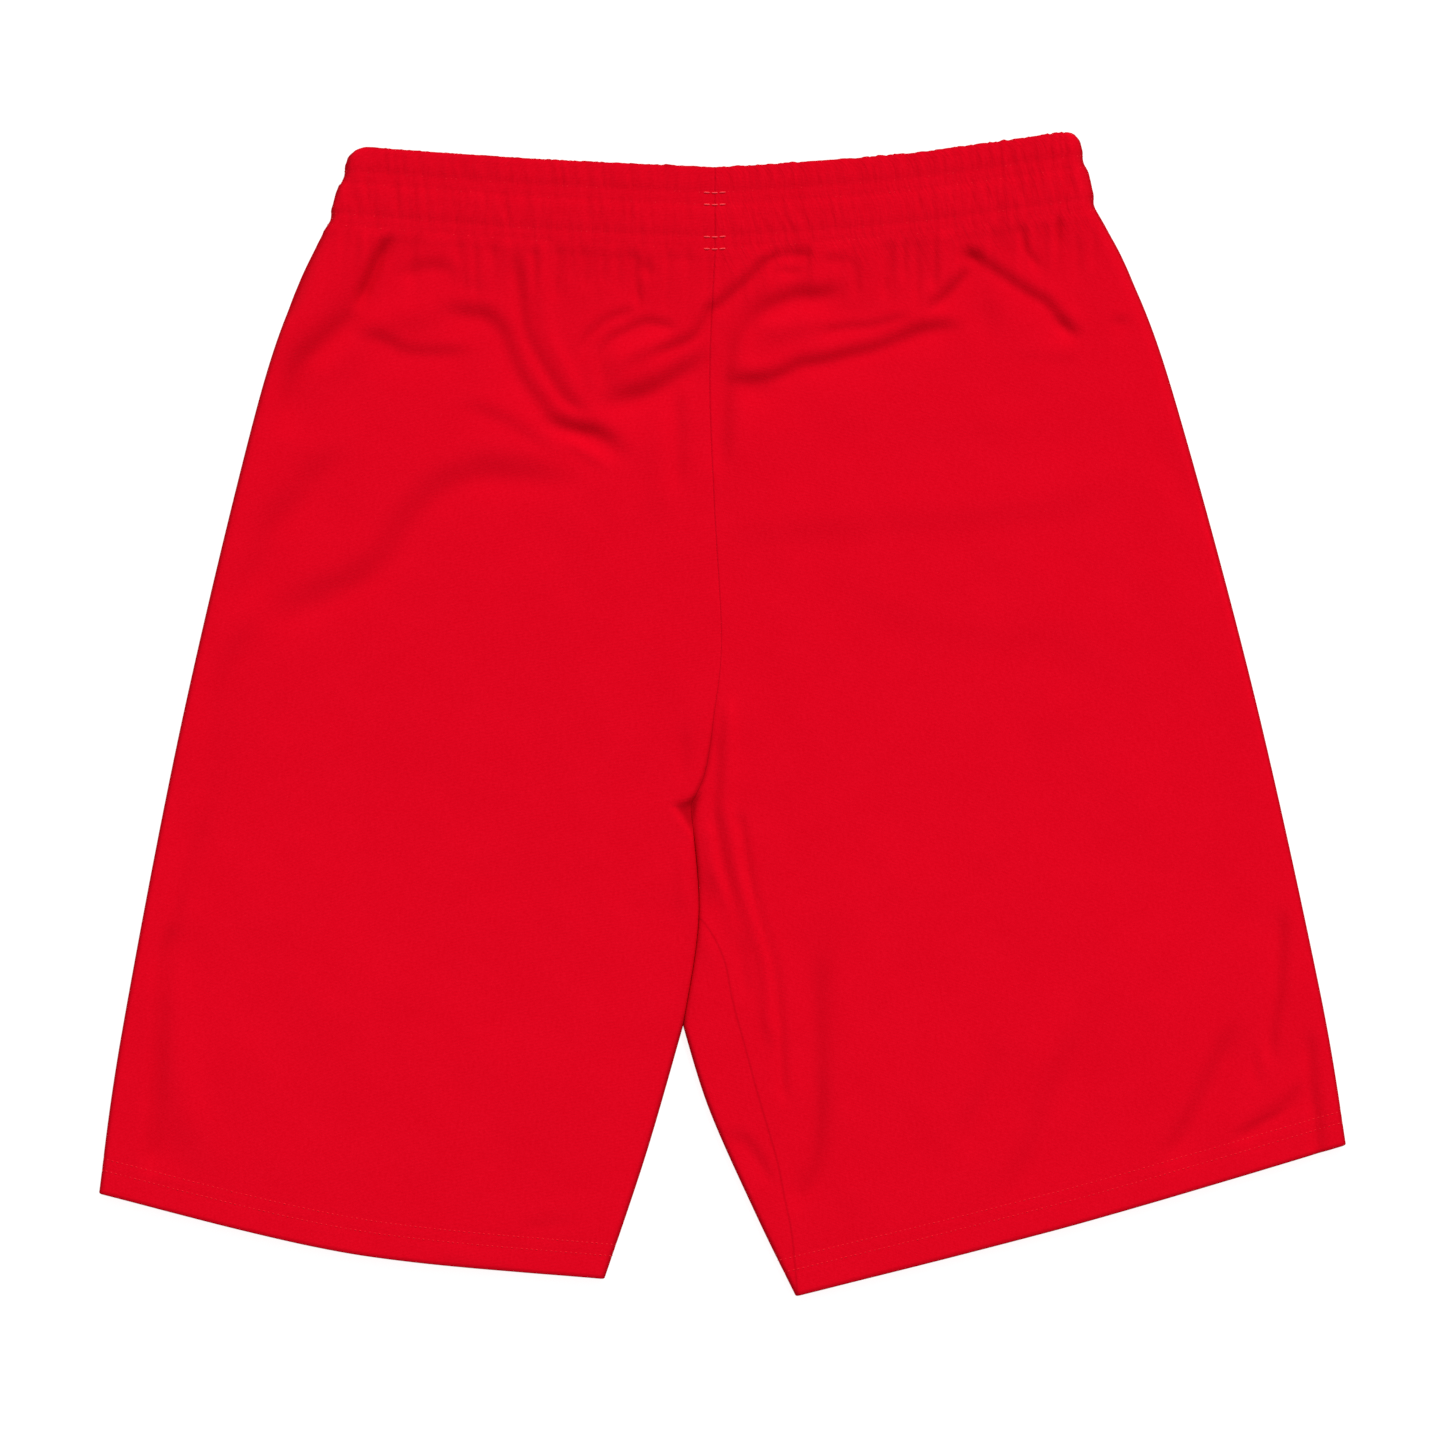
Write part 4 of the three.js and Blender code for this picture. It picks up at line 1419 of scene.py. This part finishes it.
@dataclass
class Shorts:
    """The whole garment."""

    knit: bpy.types.Material
    thread: bpy.types.Material
    bar_thread: bpy.types.Material
    elastic: bpy.types.Material

    def dress(self, thing: bpy.types.Object, material: bpy.types.Material, slot: str, *nodes: str) -> None:
        """Gives a piece its finish and ties it to the frame."""
        thing.data.materials.append(material)
        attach(thing, "root")
        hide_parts(*nodes)
        LOG.info("%s: %d faces", thing.name, len(thing.data.polygons))

    def build(self) -> None:
        """Makes every piece."""
        panels = {}
        for leg in (LEFT, RIGHT):
            for face in Face:
                fine = face is Face.BACK
                columns = Columns(6, 162 if fine else 96)
                pitches = (3.7, 1.7, 1.3) if fine else (7.0, 3.2, 1.8)
                panel = Panel(leg, face, columns, *pitches)
                thing = panel.build()
                panels[leg.name, face] = panel
                self.dress(thing, self.knit, "red_knit", f"{face.name.lower()}_{leg.name}_panel")
                rests = () if face is Face.FRONT else (f"front_{leg.name}_panel",)
        self.stitch(panels)
        self.seams()
        for node in ("waist_elastic", "elastic_join_zigzag"):
            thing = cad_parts[node]
            finish = self.elastic if node == "waist_elastic" else self.thread
            thing.material_slots[0].material = finish

    def stitch(self, panels: dict) -> None:
        """Makes the twin-needle stitches of both hems and the waistband."""
        back, front = Face.BACK, Face.FRONT
        waist = [
            (panels["left", back], True),
            (panels["right", back], False),
            (panels["right", front], True),
            (panels["left", front], False),
        ]
        lines = [
            ("waist_middle", waist, CUT.top - CUT.middle_row - CUT.gauge),
            ("waist_lower", waist, CUT.top - CUT.lower_row - CUT.gauge),
        ]
        for leg in (LEFT, RIGHT):
            loop = [(panels[leg.name, back], True), (panels[leg.name, front], False)]
            lines.append((f"hem_{leg.name}", loop, CUT.hem_row))
        for name, loop, d in lines:
            for row, offset in (("lower", 0.0), ("upper", CUT.gauge)):
                node = f"{name}_{row}_needle_thread"
                waisted = name.startswith("waist")
                sink = 0.25 if waisted else 0.0
                thing = NeedleRow(f"{node}_stitches", loop, d + offset, sink, waisted).build()
                self.dress(thing, self.thread, "red_thread", node)
                if waisted:
                    thing.data.materials.append(self.bar_thread)
            node = f"{name}_looper_thread"
            thing = LooperRow(f"{node}_zigzag", loop, d).build()
            self.dress(thing, self.thread, "red_thread", node)

    def seams(self) -> None:
        """Makes the six overlocked seams inside."""
        start, end = CUT.hem_allowance + 1, CUT.band - 16
        runs = []
        for leg in (LEFT, RIGHT):
            runs.append((f"side_seam_{leg.name}", leg, "side", Face.BACK, start, end))
            runs.append((f"inseam_{leg.name}", leg, "inseam", Face.BACK, start, CUT.crotch - CROTCH_EASE))
        for face in Face:
            runs.append((f"rise_seam_{face.name.lower()}", RIGHT, "rise", face, CUT.crotch + 2, end))
        for node, leg, kind, face, low, high in runs:
            thing = Overlock(f"{node}_overlock", leg, kind, face).build(low, high)
            self.dress(thing, self.thread, "red_thread", node)


@dataclass(frozen=True)
class Studio:
    """The camera, the lights and the floor."""

    view_width: float = 0.7225
    view_centre: tuple = (0.0, -0.0042)
    camera_height: float = 2.6
    sensor: float = 36
    sky: float = 0.59
    key_power: float = 1470.0

    def build(self) -> None:
        """Sets up the studio."""
        scene = bpy.context.scene
        scene.view_settings.view_transform = "Standard"
        data = bpy.data.cameras.new("camera")
        data.sensor_width = self.sensor
        data.lens = self.sensor * self.camera_height / self.view_width
        camera = bpy.data.objects.new("camera", data)
        camera.location = (*self.view_centre, self.camera_height)
        scene.collection.objects.link(camera)
        scene.camera = camera
        world = bpy.data.worlds.new("sky")
        world.use_nodes = True
        background = world.node_tree.nodes["Background"]
        background.inputs["Color"].default_value = (1, 1, 1, 1)
        background.inputs["Strength"].default_value = self.sky
        scene.world = world
        self.softbox("key", (3.5, 10.5, 8.4), 3.6, self.key_power)
        self.floor()

    @staticmethod
    def softbox(name: str, place: tuple, size: float, power: float) -> None:
        """A square light that faces the origin."""
        data = bpy.data.lights.new(name, "AREA")
        data.size = size
        data.energy = power
        light = bpy.data.objects.new(name, data)
        light.location = place
        light.rotation_euler = (-Vector(place)).to_track_quat("-Z", "Y").to_euler()
        bpy.context.scene.collection.objects.link(light)

    @staticmethod
    def floor() -> None:
        """A plain white floor that is a little bright of its own."""
        white = {
            "Base Color": (0.3, 0.3, 0.3, 1),
            "Roughness": 1.0,
            "Specular IOR Level": 0.0,
            "Emission Color": (1, 1, 1, 1),
            "Emission Strength": 0.85,
        }
        half, level = 6000, -0.4
        places = ((-1, -1), (1, -1), (1, 1), (-1, 1))
        corners = np.array([(half * x, half * y, level) for x, y in places])
        floor = make_mesh("floor", corners, np.array([[0, 1, 2, 3]]))
        floor.data.materials.append(Graph("floor").surface(white))


def main() -> None:
    """Builds the studio and the shorts."""
    Studio().build()
    bars = ThreadFinish("red_bar_thread", (1.0, 0.085, 0.105, 1.0), (0.86, 0.040, 0.055, 1.0))
    finishes = (KnitFinish(), ThreadFinish(), bars, ElasticFinish())
    Shorts(*(finish.material() for finish in finishes)).build()


if __name__ == "__main__":
    main()
